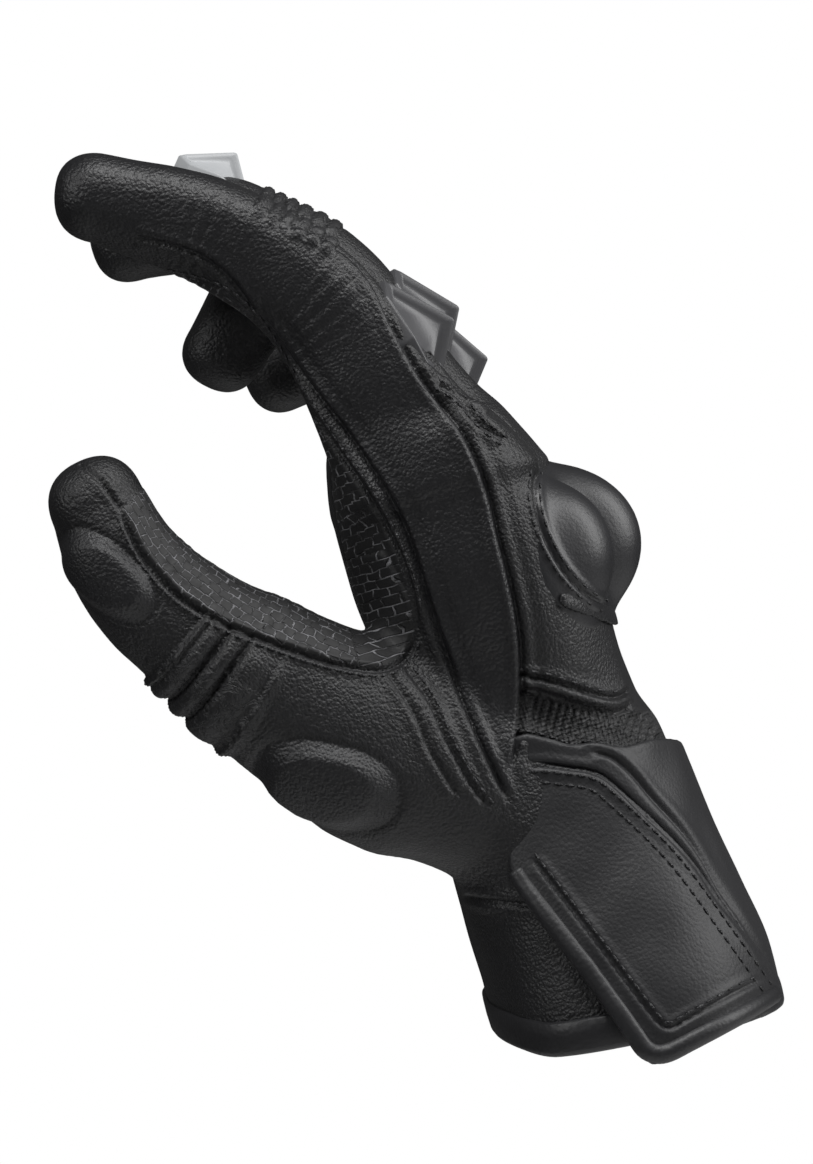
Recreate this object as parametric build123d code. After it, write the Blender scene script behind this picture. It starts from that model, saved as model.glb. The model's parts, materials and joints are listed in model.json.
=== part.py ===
"""Right-hand motorcycle glove with a gauntlet cuff, held half closed as round a handlebar.

Frame, in millimetres: the origin is on the forearm's axis, level with the flap's lower
edge, +Z runs along the forearm towards the fingers, +X points out of the back of the hand,
and -Y points to the thumb's side. Every piece that a maker would cut, mould or sew is its own solid.
"""

import math
import os
from dataclasses import dataclass

from build123d import *

# ---------------------------------------------------------------- walls and gaps
LEATHER = 1.4  # cowhide with its glued foam
LINING = 0.8  # knitted liner
PATCH = 1.2  # a reinforcing patch sewn on top of the leather
CLEAR = 0.6  # room between pieces that move past each other
FAR = 400.0  # larger than the glove, for cutting boxes

# ---------------------------------------------------------------- hand and cuff
# One rounded box runs from the cuff's mouth to the knuckles:
# height, centre x, half depth (x), half width (y), corner radius.
BODY_SECTIONS = [
    (0, 3.0, 34.0, 56.0, 26.0),
    (25, 1.5, 32.5, 53.0, 25.0),
    (48, 0.0, 30.5, 47.0, 24.0),
    (66, -2.5, 27.0, 41.0, 22.0),
    (84, -4.0, 25.0, 42.5, 21.0),
    (104, -5.0, 26.0, 48.5, 21.0),
    (122, -6.0, 25.5, 53.5, 20.0),
    (148, -7.0, 22.5, 54.5, 19.0),
]
WRIST = (-4.0, 0.0, 61.0)  # where the hand tilts on the cuff
WRIST_SLANT = 31.0  # the wrist seam climbs towards the back of the hand
WRIST_GAP = 5.0  # half of the gathered stretch between hand and cuff
SEAM_X = -3.0  # palm and back panels meet here
THUMB_SIDE = -1.0  # sign of y on the thumb's side


@dataclass
class Digit:
    """A finger or the thumb: where it starts, how it bends at rest and how thick it is.

    angles are each segment's lean from the digit's own upright, lengths run from joint to
    joint (the last to the centre of the round tip), and thick and wide are half sizes at
    the start and end of each segment. limits are the joints' travel from rest.
    """

    name: str
    root: tuple
    lengths: tuple
    angles: tuple
    thick: tuple
    wide: tuple
    limits: tuple
    follow: float
    fan: float = 0.0
    turn: float = 0.0

    def up(self):
        """The direction of a straight digit, tipped sideways by its fan angle."""
        lean = math.radians(self.fan)
        return Vector(0, -math.sin(lean), math.cos(lean))

    def fold(self):
        """The direction that the digit closes towards, turned by its own angle."""
        turn = math.radians(self.turn)
        return Vector(-math.cos(turn), -math.sin(turn), 0)

    def axis(self):
        """The joints' axis; a positive turn leans the digit from up towards fold."""
        return self.up().cross(self.fold()).normalized()

    def along(self, angle):
        """Unit vector of a segment that leans by angle."""
        a = math.radians(angle)
        return (self.fold() * math.sin(a) + self.up() * math.cos(a)).normalized()

    def joint(self, index):
        """The joint at the start of a segment; index 3 is the centre of the tip."""
        place = Vector(*self.root)
        for length, angle in zip(self.lengths[:index], self.angles[:index]):
            place += self.along(angle) * length
        return place

    def frame(self, index, angle=None):
        """A segment's own frame: z to the tip, x away from the fold, at its joint."""
        lean = self.angles[index] if angle is None else angle
        return Plane(
            origin=self.joint(index),
            x_dir=self.along(lean - 90.0),
            z_dir=self.along(lean),
        )


FINGERS = [
    Digit("index", (-7, -38.0, 137), (48, 33, 26), (15, 43, 61),
          ((15.5, 13.8), (13.2, 12.0), (11.6, 10.6)),
          ((12.3, 12.0), (11.7, 11.2), (10.9, 10.6)),
          ((-15, 30), (-20, 35), (-12, 21)), 0.6, fan=2.0),
    Digit("middle", (-5, -12.7, 140), (50, 33, 18.5), (14, 50, 90),
          ((15.5, 13.8), (13.2, 12.0), (11.6, 10.6)),
          ((12.4, 12.0), (11.7, 11.2), (10.9, 10.6)),
          ((-14, 48), (-24, 42), (-12, 21)), 0.5),
    Digit("ring", (-6, 12.6, 134), (46, 29, 19.5), (4, 60, 114),
          ((15.0, 13.4), (12.8, 11.6), (11.2, 10.2)),
          ((12.2, 11.8), (11.4, 10.8), (10.5, 10.2)),
          ((-10, 50), (-40, 28), (-24, 16.8)), 0.6, fan=-1.5),
    Digit("little", (-6, 37.5, 126), (38, 22, 17), (-2, 56, 106),
          ((13.8, 12.2), (11.6, 10.6), (10.2, 9.3)),
          ((11.2, 10.6), (10.2, 9.7), (9.5, 9.3)),
          ((-8, 50), (-38, 28), (-22.8, 16.8)), 0.6, fan=-5.0),
]
THUMB = Digit("thumb", (-24, -32.0, 70), (57, 28, 20), (47, 35, 12),
              ((22.0, 16.6), (15.2, 13.8), (13.4, 11.8)),
              ((17.5, 15.2), (14.2, 13.2), (12.8, 11.8)),
              ((-8, 14), (-18, 10), (-32, 8)), 0.0, turn=14.0)

GUARD_WALL = 2.0  # moulded shell over the knuckles
LOBE_X, LOBE_WIDTH = 11.0, 13.5  # where a lobe of the guard is centred, and its half width
GUARD_LOBES = [  # y, reach in x, z, half height
    (-36.0, 17.0, 111.0, 18.0),
    (-12.5, 24.0, 112.5, 19.5),
    (12.5, 21.5, 109.5, 18.5),
    (35.0, 14.5, 105.0, 16.0),
]

BARREL = 17.5  # radius of a finger's root where it turns in the hand
BARREL_KEPT = (-75.0, 150.0)  # the barrel's wall, as angles from the finger's axis
ROOT_SWING = 1.0  # room round a finger's root in the hand's open end
TUCK = 1.6  # how far a segment's back wall passes its joint
BEHIND = 2.0  # how far a rod starts behind its joint, before it is cut to its bellows

# ---------------------------------------------------------------- closure
FLAP_AIR = 2.4  # height of the hook and loop tapes under the flap
FLAP_EDGE_Y = -18.0  # where the flap is sewn to the back of the cuff
FLAP_HEM = 0.0  # the flap hangs past the cuff's hem
HEM_MIDDLE, HEM_SLOPE = 5.0, -0.09  # the cuff's hem: its height at x = 0, and its rise with x
FLAP_OPEN = 110.0
TAPE = 1.0
HEM_ROLL, HEM_DEPTH = 1.1, 6.0  # the hem's binding: its thickness and its height


def half_space(plane):
    """A large box on the plane's +z side."""
    return plane * Pos(0, 0, FAR / 2) * Box(FAR, FAR, FAR)


def slab(low, high):
    """A box from its lowest to its highest corner."""
    size = [b - a for a, b in zip(low, high)]
    middle = [(a + b) / 2 for a, b in zip(low, high)]
    return Pos(*middle) * Box(*size)


def body(grow):
    """The rounded box of cuff, wrist and hand, with its skin moved out by grow."""
    sections = [
        Pos(x, 0, z)
        * RectangleRounded(2 * (deep + grow), 2 * (wide + grow), corner + grow)
        for z, x, deep, wide, corner in BODY_SECTIONS
    ]
    return loft(sections, ruled=True)


def skin(outer, inner):
    """The layer of the body between two offsets."""
    return body(outer) - body(inner)


def wrist_plane(height):
    """The slanted plane of the wrist seam, moved towards the hand by height."""
    slant = math.radians(WRIST_SLANT)
    normal = Vector(-math.sin(slant), 0, math.cos(slant))
    return Plane(origin=Vector(*WRIST) + normal * height, x_dir=(0, 1, 0), z_dir=normal)


def above_wrist(height=WRIST_GAP):
    """Everything on the hand's side of the wrist."""
    return half_space(wrist_plane(height))


def elliptic(start, end, low, high):
    """A tapered elliptic rod along z; start and end are (half depth, half width)."""
    return loft([Pos(0, 0, low) * Ellipse(*start), Pos(0, 0, high) * Ellipse(*end)])


def taper(digit, index, z, inset=0.0):
    """(half depth, half width) of a segment at distance z from its joint."""
    share = z / digit.lengths[index]
    pairs = digit.thick[index], digit.wide[index]
    return tuple(a + (b - a) * share - inset for a, b in pairs)


def rod(digit, index, low, high, inset=0.0):
    """A segment's solid between two distances from its joint."""
    return elliptic(
        taper(digit, index, low, inset), taper(digit, index, high, inset), low, high
    )


def slanted(depth, back, front, keep_far):
    """Half space across a segment: the plane meets the back (+x) and front (-x) walls there."""
    run = Vector(2 * depth, 0, back - front)
    normal = Vector(-run.Z, 0, run.X).normalized()
    plane = Plane(origin=(0, 0, (back + front) / 2), x_dir=(0, 1, 0), z_dir=normal)
    return half_space(plane if keep_far else Plane(plane.origin, (0, 1, 0), -normal))


def fold_side(digit):
    """+1 where x points away from the fold, as on a finger, and -1 on the thumb."""
    return -1.0 if digit is THUMB else 1.0


def fold_angle(digit, index):
    """The most that two segments bend at the joint before segment index."""
    rest = digit.angles[index] - digit.angles[index - 1]
    low, high = digit.limits[index]
    return max(abs(rest + low), abs(rest + high))


def fold_room(digit, index, depth):
    """How far each segment's inner wall stops short of that joint, so they never meet."""
    return depth * math.tan(math.radians(fold_angle(digit, index) / 2 + 2.0)) + 0.5


def ball_radius(digit, index):
    """Radius of the bellows that turns inside the segment before index."""
    return taper(digit, index - 1, digit.lengths[index - 1], LEATHER)[1] - CLEAR


def start_cut(digit, index):
    """Cuts a segment's near end so that it clears the one before."""
    depth = digit.thick[index][0]
    back, front = TUCK, fold_room(digit, index, depth)
    if fold_side(digit) < 0:
        back, front = front, back
    return slanted(depth, back, front, keep_far=True)


def end_cut(digit, index):
    """Cuts a segment's far end so that the next one can fold."""
    depth, length = digit.thick[index][1], digit.lengths[index]
    back, front = length + TUCK, length - fold_room(digit, index + 1, depth)
    if fold_side(digit) < 0:
        back, front = front, back
    return slanted(depth, back, front, keep_far=False)


def bellows(digit, index, wall):
    """A hollow ball round the joint, open towards the segment before."""
    radius = ball_radius(digit, index)
    lean = math.radians(fold_angle(digit, index) / 2) * fold_side(digit)
    way_in = Vector(-math.sin(lean), 0, -math.cos(lean))
    mouth = Plane(origin=way_in * (radius * 0.40), x_dir=(0, 1, 0), z_dir=way_in)
    return Sphere(radius) - Sphere(radius - wall) - half_space(mouth)


def outer_sleeve(digit, index, wall=LEATHER):
    """A middle or tip segment: its tube, the bellows at its joint and a round tip."""
    last = index == 2
    length = digit.lengths[index]
    reach = length if last else length + digit.thick[index][1]
    radius = ball_radius(digit, index)
    neck = radius - wall
    solid = rod(digit, index, -BEHIND, reach) & start_cut(digit, index)
    hollow_from = fold_room(digit, index, digit.thick[index][0]) * 0.5 + TUCK + 2.5
    hollow = rod(digit, index, hollow_from, reach + (0 if last else 1), wall)
    if last:
        solid += Pos(0, 0, length) * Sphere(digit.thick[index][1])
        hollow += Pos(0, 0, length) * Sphere(digit.thick[index][1] - wall)
    else:
        solid &= end_cut(digit, index)
    hollow += Sphere(neck) + Pos(0, 0, hollow_from / 2) * Cylinder(neck, hollow_from + 0.5)
    shell = solid - hollow
    return digit.frame(index) * (shell + (bellows(digit, index, wall) - shell))


def lining_tube(digit, index):
    """The knitted liner inside a segment, clear of the next joint's bellows."""
    wall, last = LEATHER, index == 2
    if index:
        low = fold_room(digit, index, digit.thick[index][0]) * 0.5 + TUCK + 3.0
    else:
        low = BARREL + 2.0
    length = digit.lengths[index]
    high = length if last else length - ball_radius(digit, index + 1) - CLEAR
    outer = rod(digit, index, low, high, wall)
    inner = rod(digit, index, low - 1, high + (0 if last else 1), wall + LINING)
    if last:
        outer += Pos(0, 0, length) * Sphere(digit.thick[index][1] - wall)
        inner += Pos(0, 0, length) * Sphere(digit.thick[index][1] - wall - LINING)
    return digit.frame(index) * (outer - inner)


def cylinder_across(radius, width):
    """A cylinder whose axis is a digit's joint axis."""
    return Rot(90, 0, 0) * Cylinder(radius, width)


def wedge(low, high, width, reach=60.0):
    """A pie slice round the joint axis between two angles from +z towards +x."""
    steps = [low + (high - low) * i / 4 for i in range(5)]
    rim = [(reach * math.sin(math.radians(a)), reach * math.cos(math.radians(a))) for a in steps]
    outline = make_face(Polyline((0, 0), *rim, close=True))
    flat = Plane(origin=(0, width / 2, 0), x_dir=(1, 0, 0), z_dir=(0, -1, 0))
    return extrude(flat * outline, width)


def finger_root(digit):
    """A finger's first sleeve: the barrel that turns in the hand, and its tube."""
    width = 2 * digit.wide[0][0] - 0.2
    length = digit.lengths[0]
    tube = rod(digit, 0, 8.0, length + digit.thick[0][1]) & end_cut(digit, 0)
    tube -= rod(digit, 0, 4.0, length + 20.0, LEATHER)
    kept = wedge(BARREL_KEPT[0], BARREL_KEPT[1], width + 2)
    barrel = (cylinder_across(BARREL, width) - rod(digit, 0, 4.0, 40.0, LEATHER)) & kept
    inside = cylinder_across(BARREL - LEATHER, width + 20)
    return digit.frame(0) * (tube + barrel - inside)


def finger_sweep(digit):
    """The space a finger's root needs in the hand over its whole travel."""
    low, high = (digit.angles[0] + limit for limit in digit.limits[0])
    depth = digit.thick[0][0] + ROOT_SWING
    width = 2 * digit.wide[0][0] + 2 * ROOT_SWING
    space = digit.frame(0, 0.0) * cylinder_across(BARREL + CLEAR, width)
    for i in range(7):
        lean = low + (high - low) * i / 6
        space += digit.frame(0, lean) * Pos(0, 0, 40) * Box(2 * depth, width, 80)
    return space


def thumb_root():
    """The thumb's wide first sleeve, open towards the palm at its near end."""
    length = THUMB.lengths[0]
    near = 6.0
    tube = rod(THUMB, 0, near, length + 20) & end_cut(THUMB, 0)
    tube -= rod(THUMB, 0, near - 1, length + 21, LEATHER)
    return THUMB.frame(0) * tube


def thumb_sweep():
    """The space the thumb's root needs in the side of the hand."""
    space = None
    for turn in (THUMB.limits[0][0], 0.0, THUMB.limits[0][1]):
        frame = THUMB.frame(0, THUMB.angles[0] + turn)
        piece = frame * elliptic(
            taper(THUMB, 0, 4.0, -CLEAR - 0.6), taper(THUMB, 0, 60.0, -CLEAR - 0.6), 4.0, 60.0
        )
        space = piece if space is None else space + piece
    return space


def on_segment(digit, index, solid, inset=0.0):
    """Seats a solid, drawn in a segment's own frame, on that segment's leather."""
    length = digit.lengths[index]
    return digit.frame(index) * (solid - rod(digit, index, -20.0, length + 20.0, inset))


def polyhedron(points, faces):
    """A solid from corner points and the corners of each flat face."""
    shell = Shell([Face(Wire.make_polygon([points[i] for i in f])) for f in faces])
    return Solid(shell)


def knuckle_cap(digit, index, start, peak, end, height):
    """A moulded roof-shaped cap over the back of a segment, with sunk facets.

    It rises from its far end to a peak and drops steeply at its near end.
    """
    depth, width = taper(digit, index, peak)
    tip = Vector(taper(digit, index, end)[0] + 0.6, 0, end)
    top = Vector(depth + height, 0, peak)
    near = Vector(taper(digit, index, start)[0] + 1.6, 0, start)
    left = Vector(depth * 0.52, width * 0.98, peak + 1.5)
    right = Vector(left.X, -left.Y, left.Z)
    under = Vector(depth * 0.3, 0, peak)
    points = [tip, top, near, left, right, under]
    faces = [(0, 1, 3), (0, 4, 1), (2, 3, 1), (2, 1, 4), (0, 3, 5), (0, 5, 4), (2, 5, 3), (2, 4, 5)]
    cap = polyhedron(points, faces)
    for a, b, c in ((tip, top, left), (tip, right, top), (near, left, top), (near, top, right)):
        cap -= sunk_facet(a, b, c)
    return on_segment(digit, index, cap)


def sunk_facet(a, b, c, border=0.36, depth=0.7):
    """A shallow pocket inside a triangular facet, with an even border."""
    middle = (a + b + c) / 3
    corners = [p + (middle - p) * border for p in (a, b, c)]
    out = (b - a).cross(c - a).normalized()
    if out.X < 0:
        out = out * -1
    face = Face(Wire.make_polygon([p + out * 0.5 for p in corners]))
    return Solid.extrude(face, out * -(0.5 + depth))


def ribbed_panel(digit, index, start, end, count, rise, spread):
    """A stretch panel of padded ribs that run across the back of a segment."""
    step = (end - start) / count
    side = fold_side(digit)
    base = rod(digit, index, start, end, -0.7)
    for i in range(count):
        middle = start + step * (i + 0.5)
        depth, width = taper(digit, index, middle)
        base += elliptic((depth + rise, width + rise * 0.7), (depth + rise, width + rise * 0.7),
                         middle - step * 0.36, middle + step * 0.36)
    limit = digit.thick[index][0] * math.cos(math.radians(spread)) * side
    low, high = sorted((limit, side * 60.0))
    return on_segment(digit, index, base & slab((low, -60, -60), (high, 60, 120)))


def oval_pad(digit, index, middle, lean, half_length, half_width, rise):
    """A flat oval of padding on a segment, lean degrees round from its back towards -y."""
    depth, width = taper(digit, index, middle)
    a = math.radians(lean) * fold_side(digit)
    seat = Vector(depth * math.cos(a) * fold_side(digit), -width * abs(math.sin(a)), middle)
    pad = scale(Sphere(1.0), by=(half_width, rise + 3.0, half_length))
    normal = Vector(math.cos(a) * fold_side(digit), -abs(math.sin(a)), 0)
    plane = Plane(origin=seat - normal * 3.0, x_dir=(0, 0, 1), z_dir=normal)
    return on_segment(digit, index, plane * Rot(90, 0, 0) * Rot(0, 90, 0) * pad)


def guard_domes(grow):
    """The knuckle guard's four lobes, one over each knuckle, joined by a thin web."""
    lobes = body(PATCH + GUARD_WALL + grow) & slab((12, -44, 98), (80, 44, 126))
    for y, reach, z, tall in GUARD_LOBES:
        radii = (reach + grow, LOBE_WIDTH + grow, tall + grow)
        lobes += Pos(LOBE_X, y, z) * scale(Sphere(1.0), by=radii)
    return lobes


def flap_region():
    """The part of the cuff that the flap covers, cut to its outline."""
    region = slab((-30, -80, FLAP_HEM), (60, FLAP_EDGE_Y, 68))
    free_edge = Plane(origin=(-20, 0, 41), x_dir=(0, 1, 0), z_dir=Vector(48, 0, 20).normalized())
    top_edge = Plane(origin=(3, 0, 66), x_dir=(0, 1, 0), z_dir=Vector(-0.35, 0, -1).normalized())
    near_edge = Plane(origin=(-14, 0, 50), x_dir=(0, 1, 0), z_dir=(1, 0, 0))
    return region & half_space(free_edge) & half_space(top_edge) & half_space(near_edge)


def extended_body(grow):
    """The body with its lowest section carried on down past the hem."""
    z, x, deep, wide, corner = BODY_SECTIONS[0]
    profile = Pos(x, 0, z - 12) * RectangleRounded(
        2 * (deep + grow), 2 * (wide + grow), corner + grow
    )
    return body(grow) + extrude(profile, 12)


def write(name, shape):
    """Exports one node."""
    export_step(shape, f"parts/{name}.step")


def above_hem(height=0.0):
    """Everything above the cuff's slanted hem, moved up by height."""
    normal = Vector(-HEM_SLOPE, 0, 1).normalized()
    return half_space(Plane(origin=(0, 0, HEM_MIDDLE + height), x_dir=(0, 1, 0), z_dir=normal))


def build_cuff():
    """The gauntlet: two leather panels, liner, hem, elastic and the loop tape."""
    cuff = above_hem() - above_wrist(-WRIST_GAP)
    below = skin(0, -LEATHER) & cuff
    write("cuff_palm_panel", below & slab((-80, -80, -1), (SEAM_X, 80, 200)))
    write("cuff_back_panel", below & slab((SEAM_X, -80, -1), (80, 80, 200)))
    write("cuff_lining", skin(-LEATHER, -LEATHER - LINING) & cuff)
    write("cuff_hem_binding", (skin(HEM_ROLL, 0) & cuff) - above_hem(HEM_DEPTH))
    elastic = skin(-7.5, -8.7) - above_wrist(WRIST_GAP + 2.5)
    write("wrist_elastic", elastic & above_wrist(-WRIST_GAP - 7.0))
    tape = skin(TAPE, 0) & flap_region() & slab((-40, -80, 14), (24, -30, 50))
    write("cuff_loop_tape", tape)


def build_flap():
    """The closing flap with its piped edge, upper band and hook tape."""
    inner, outer = FLAP_AIR, FLAP_AIR + LEATHER
    region = flap_region()
    layer = (extended_body(outer) - extended_body(inner)) & region
    band_edge = Plane(origin=(23, 0, 37), x_dir=(0, 1, 0), z_dir=Vector(27, 0, 13).normalized())
    on_band = half_space(band_edge)
    write("flap_panel", layer - on_band)
    write("flap_band", layer & on_band)
    rim = Vector(48, 0, 20).normalized()
    inside = Plane(origin=Vector(-20, 0, 41) + rim * 3.5, x_dir=(0, 1, 0), z_dir=rim)
    core = half_space(inside) & slab((-60, -90, FLAP_HEM + 3.5), (80, 90, 200))
    binding = (extended_body(outer + 1.1) - extended_body(outer)) & region
    write("flap_binding", (binding - core) - on_band)
    hook = (body(inner) - body(inner - TAPE)) & region & slab((-40, -80, 16), (22, -32, 48))
    write("flap_hook_tape", hook)


def build_hand():
    """Palm, back, liner, guard and patches of the hand."""
    roots = thumb_sweep()
    for digit in FINGERS:
        roots += finger_sweep(digit)
    hand = (skin(0, -LEATHER) & above_wrist()) - roots
    palm = hand & slab((-80, -80, 0), (SEAM_X, 80, 200))
    back = hand & slab((SEAM_X, -80, 0), (80, 80, 200))
    write("palm_panel", largest(palm))
    write("back_panel", largest(back))
    lining = (skin(-LEATHER, -LEATHER - LINING) & above_wrist()) - roots
    write("hand_lining", largest(lining & slab((-80, -80, 0), (80, 80, 128))))
    zone = slab((0, -60, 94.5), (80, 60, 135))
    domes, core = guard_domes(0) & zone, guard_domes(-GUARD_WALL) & zone
    write("knuckle_guard", largest(domes - core - body(PATCH)))
    write("knuckle_foam", core - body(PATCH))
    patch = skin(PATCH, 0) - roots
    write("back_strap", largest(patch & slab((6, -60, 87.5), (80, 60, 94.0))))
    write("side_panel", largest(patch & slab((-14, -80, 76), (5.5, -40, 146))))
    write("palm_grip_patch", largest(patch & slab((-60, -60, 104), (-14.5, -14, 140))))


def largest(shape):
    """The biggest solid of a cut, without its offcuts."""
    return max(shape.solids(), key=lambda solid: solid.volume)


def build_fingers():
    """The four fingers: three leather sleeves each, their liners, caps and ribs."""
    for digit in FINGERS:
        write(f"{digit.name}_base_sleeve", finger_root(digit))
        write(f"{digit.name}_base_lining", lining_tube(digit, 0))
        for index, part in ((1, "mid"), (2, "tip")):
            write(f"{digit.name}_{part}_sleeve", outer_sleeve(digit, index))
            write(f"{digit.name}_{part}_lining", lining_tube(digit, index))
        ribs = ribbed_panel(digit, 1, 5.0, digit.lengths[1] - 6.0, 5, 1.6, 58.0)
        write(f"{digit.name}_stretch_panel", ribs)
    for digit in FINGERS[:3]:
        far = digit.lengths[0] - 2.0
        write(f"{digit.name}_knuckle_cap", knuckle_cap(digit, 0, far - 26, far - 17.5, far, 6.2))
    write("middle_tip_cap", knuckle_cap(FINGERS[1], 2, 2.5, 6.5, 19.0, 4.6))


def build_thumb():
    """The thumb: root, middle and tip sleeves, liners, ribs, pads and grip patch."""
    write("thumb_base_sleeve", thumb_root())
    write("thumb_mid_sleeve", outer_sleeve(THUMB, 1))
    write("thumb_mid_lining", lining_tube(THUMB, 1))
    write("thumb_tip_sleeve", outer_sleeve(THUMB, 2))
    write("thumb_tip_lining", lining_tube(THUMB, 2))
    write("thumb_stretch_panel", ribbed_panel(THUMB, 0, 40.0, 55.0, 3, 1.8, 62.0))
    write("thumb_pad", oval_pad(THUMB, 0, 24.0, 62.0, 13.5, 10.0, 2.2))
    write("thumb_tip_pad", oval_pad(THUMB, 2, 10.0, 52.0, 12.5, 7.0, 1.8))
    zone = slab((5.0, -60, 16.0), (60, 60, 44.0))
    patch = (rod(THUMB, 0, 16.0, 44.0, -PATCH)) & zone
    write("thumb_grip_patch", on_segment(THUMB, 0, patch))


def main():
    """Builds every node."""
    os.makedirs("parts", exist_ok=True)
    build_cuff()
    build_flap()
    build_hand()
    build_fingers()
    build_thumb()


main()
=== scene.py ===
"""Right-hand gauntlet riding glove in black cowhide, half closed as round a grip.

Everything is worked out in millimetres in the glove's own frame and turned to metres when a
mesh is made. The leather is one smooth skin that is cut into panels at the middle of each
finger bone, so that every panel spans one joint only.
"""

import json
import logging
import math
from collections.abc import Callable
from dataclasses import dataclass, field
from enum import Enum

import bmesh
import bpy
import numpy as np
import openvdb
from mathutils import Matrix, Vector
from mathutils.bvhtree import BVHTree

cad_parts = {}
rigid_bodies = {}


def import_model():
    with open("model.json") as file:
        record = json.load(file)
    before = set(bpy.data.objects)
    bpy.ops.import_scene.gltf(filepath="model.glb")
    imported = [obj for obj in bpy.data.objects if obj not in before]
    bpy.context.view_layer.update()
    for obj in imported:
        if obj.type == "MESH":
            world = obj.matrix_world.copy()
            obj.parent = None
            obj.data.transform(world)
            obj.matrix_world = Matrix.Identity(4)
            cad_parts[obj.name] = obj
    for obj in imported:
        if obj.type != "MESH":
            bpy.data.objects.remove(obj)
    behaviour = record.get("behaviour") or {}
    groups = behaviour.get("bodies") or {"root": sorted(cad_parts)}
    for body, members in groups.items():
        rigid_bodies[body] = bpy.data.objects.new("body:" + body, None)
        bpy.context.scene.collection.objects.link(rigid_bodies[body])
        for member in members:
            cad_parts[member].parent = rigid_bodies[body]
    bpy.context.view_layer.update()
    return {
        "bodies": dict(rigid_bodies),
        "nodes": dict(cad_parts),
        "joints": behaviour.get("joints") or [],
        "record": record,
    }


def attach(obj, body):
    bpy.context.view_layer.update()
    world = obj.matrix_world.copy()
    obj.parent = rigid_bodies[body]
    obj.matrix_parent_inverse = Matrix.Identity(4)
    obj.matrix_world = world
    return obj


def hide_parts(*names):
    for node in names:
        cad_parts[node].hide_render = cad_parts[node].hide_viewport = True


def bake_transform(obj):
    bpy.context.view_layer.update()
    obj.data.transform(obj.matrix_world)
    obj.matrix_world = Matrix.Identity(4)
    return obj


LOG = logging.getLogger("glove")
MM = 0.001
VOXEL = 0.9  # mm between the points of the leather's lattice
Array = np.ndarray
Socket = bpy.types.NodeSocket


# ------------------------------------------------------------------ small maths
def unit(vector: Array) -> Array:
    """The same direction with length 1: the vector over its own length."""
    return vector / np.linalg.norm(vector, axis=-1, keepdims=True)


def smooth_step(value: Array, low: float, high: float) -> Array:
    """0 below low, 1 above high, and a smooth S between."""
    share = np.clip((value - low) / (high - low), 0.0, 1.0)
    return share * share * (3.0 - 2.0 * share)


def smooth_min(first: Array, second: Array, radius: float) -> Array:
    """Union of two distance fields with a fillet: the cubic polynomial minimum.

    Args:
        first: one field, in mm.
        second: the other field, in mm.
        radius: the width over which the two run into each other, in mm.

    Returns:
        min(first, second) less h^3 * radius / 6, where h is 1 on the crossing and 0 past radius.
    """
    near = np.clip(radius - np.abs(first - second), 0.0, None) / radius
    return np.minimum(first, second) - near**3 * radius / 6.0


def smooth_max(first: Array, second: Array, radius: float) -> Array:
    """Intersection of two distance fields with a rounded edge."""
    return -smooth_min(-first, -second, radius)


def spline(points: Array, count: int) -> Array:
    """A Catmull-Rom curve through points, evenly sampled.

    Each span is the cubic through its two ends whose slopes are half the chord of the
    neighbouring points. The result is resampled so that its points lie evenly apart.

    Args:
        points: (n, d) points that the curve passes through.
        count: how many points to return.

    Returns:
        (count, d) points.
    """
    points = np.asarray(points, float)
    padded = np.vstack([2 * points[0] - points[1], points, 2 * points[-1] - points[-2]])
    share = np.linspace(0, 1, 24, endpoint=False)[:, None]
    spans = []
    for i in range(len(points) - 1):
        a, b, c, d = padded[i : i + 4]
        spans.append(
            0.5
            * (
                2 * b
                + (c - a) * share
                + (2 * a - 5 * b + 4 * c - d) * share**2
                + (3 * b - a - 3 * c + d) * share**3
            )
        )
    dense = np.vstack([*spans, points[-1:]])
    run = np.r_[0, np.cumsum(np.linalg.norm(np.diff(dense, axis=0), axis=1))]
    even = np.linspace(0, run[-1], count)
    return np.stack([np.interp(even, run, dense[:, k]) for k in range(dense.shape[1])], axis=1)


def ease(stations: list[float], values: list[float], at: Array) -> Array:
    """Values between stations by a monotone cubic, so that a width never overshoots.

    Args:
        stations: rising stations.
        values: the value at each.
        at: where the values are wanted; outside the stations the end values hold.

    Returns:
        One value for each of at.
    """
    x, y = np.asarray(stations, float), np.asarray(values, float)
    slope = np.diff(y) / np.diff(x)
    inner = np.where(slope[1:] * slope[:-1] > 0, 2 * slope[1:] * slope[:-1] /
                     (slope[1:] + slope[:-1] + 1e-12), 0.0)
    tangent = np.r_[slope[0], inner, slope[-1]]
    at = np.clip(at, x[0], x[-1])
    i = np.clip(np.searchsorted(x, at) - 1, 0, len(x) - 2)
    width = x[i + 1] - x[i]
    t = (at - x[i]) / width
    return (
        (2 * t**3 - 3 * t**2 + 1) * y[i]
        + (t**3 - 2 * t**2 + t) * width * tangent[i]
        + (3 * t**2 - 2 * t**3) * y[i + 1]
        + (t**3 - t**2) * width * tangent[i + 1]
    )


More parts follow.
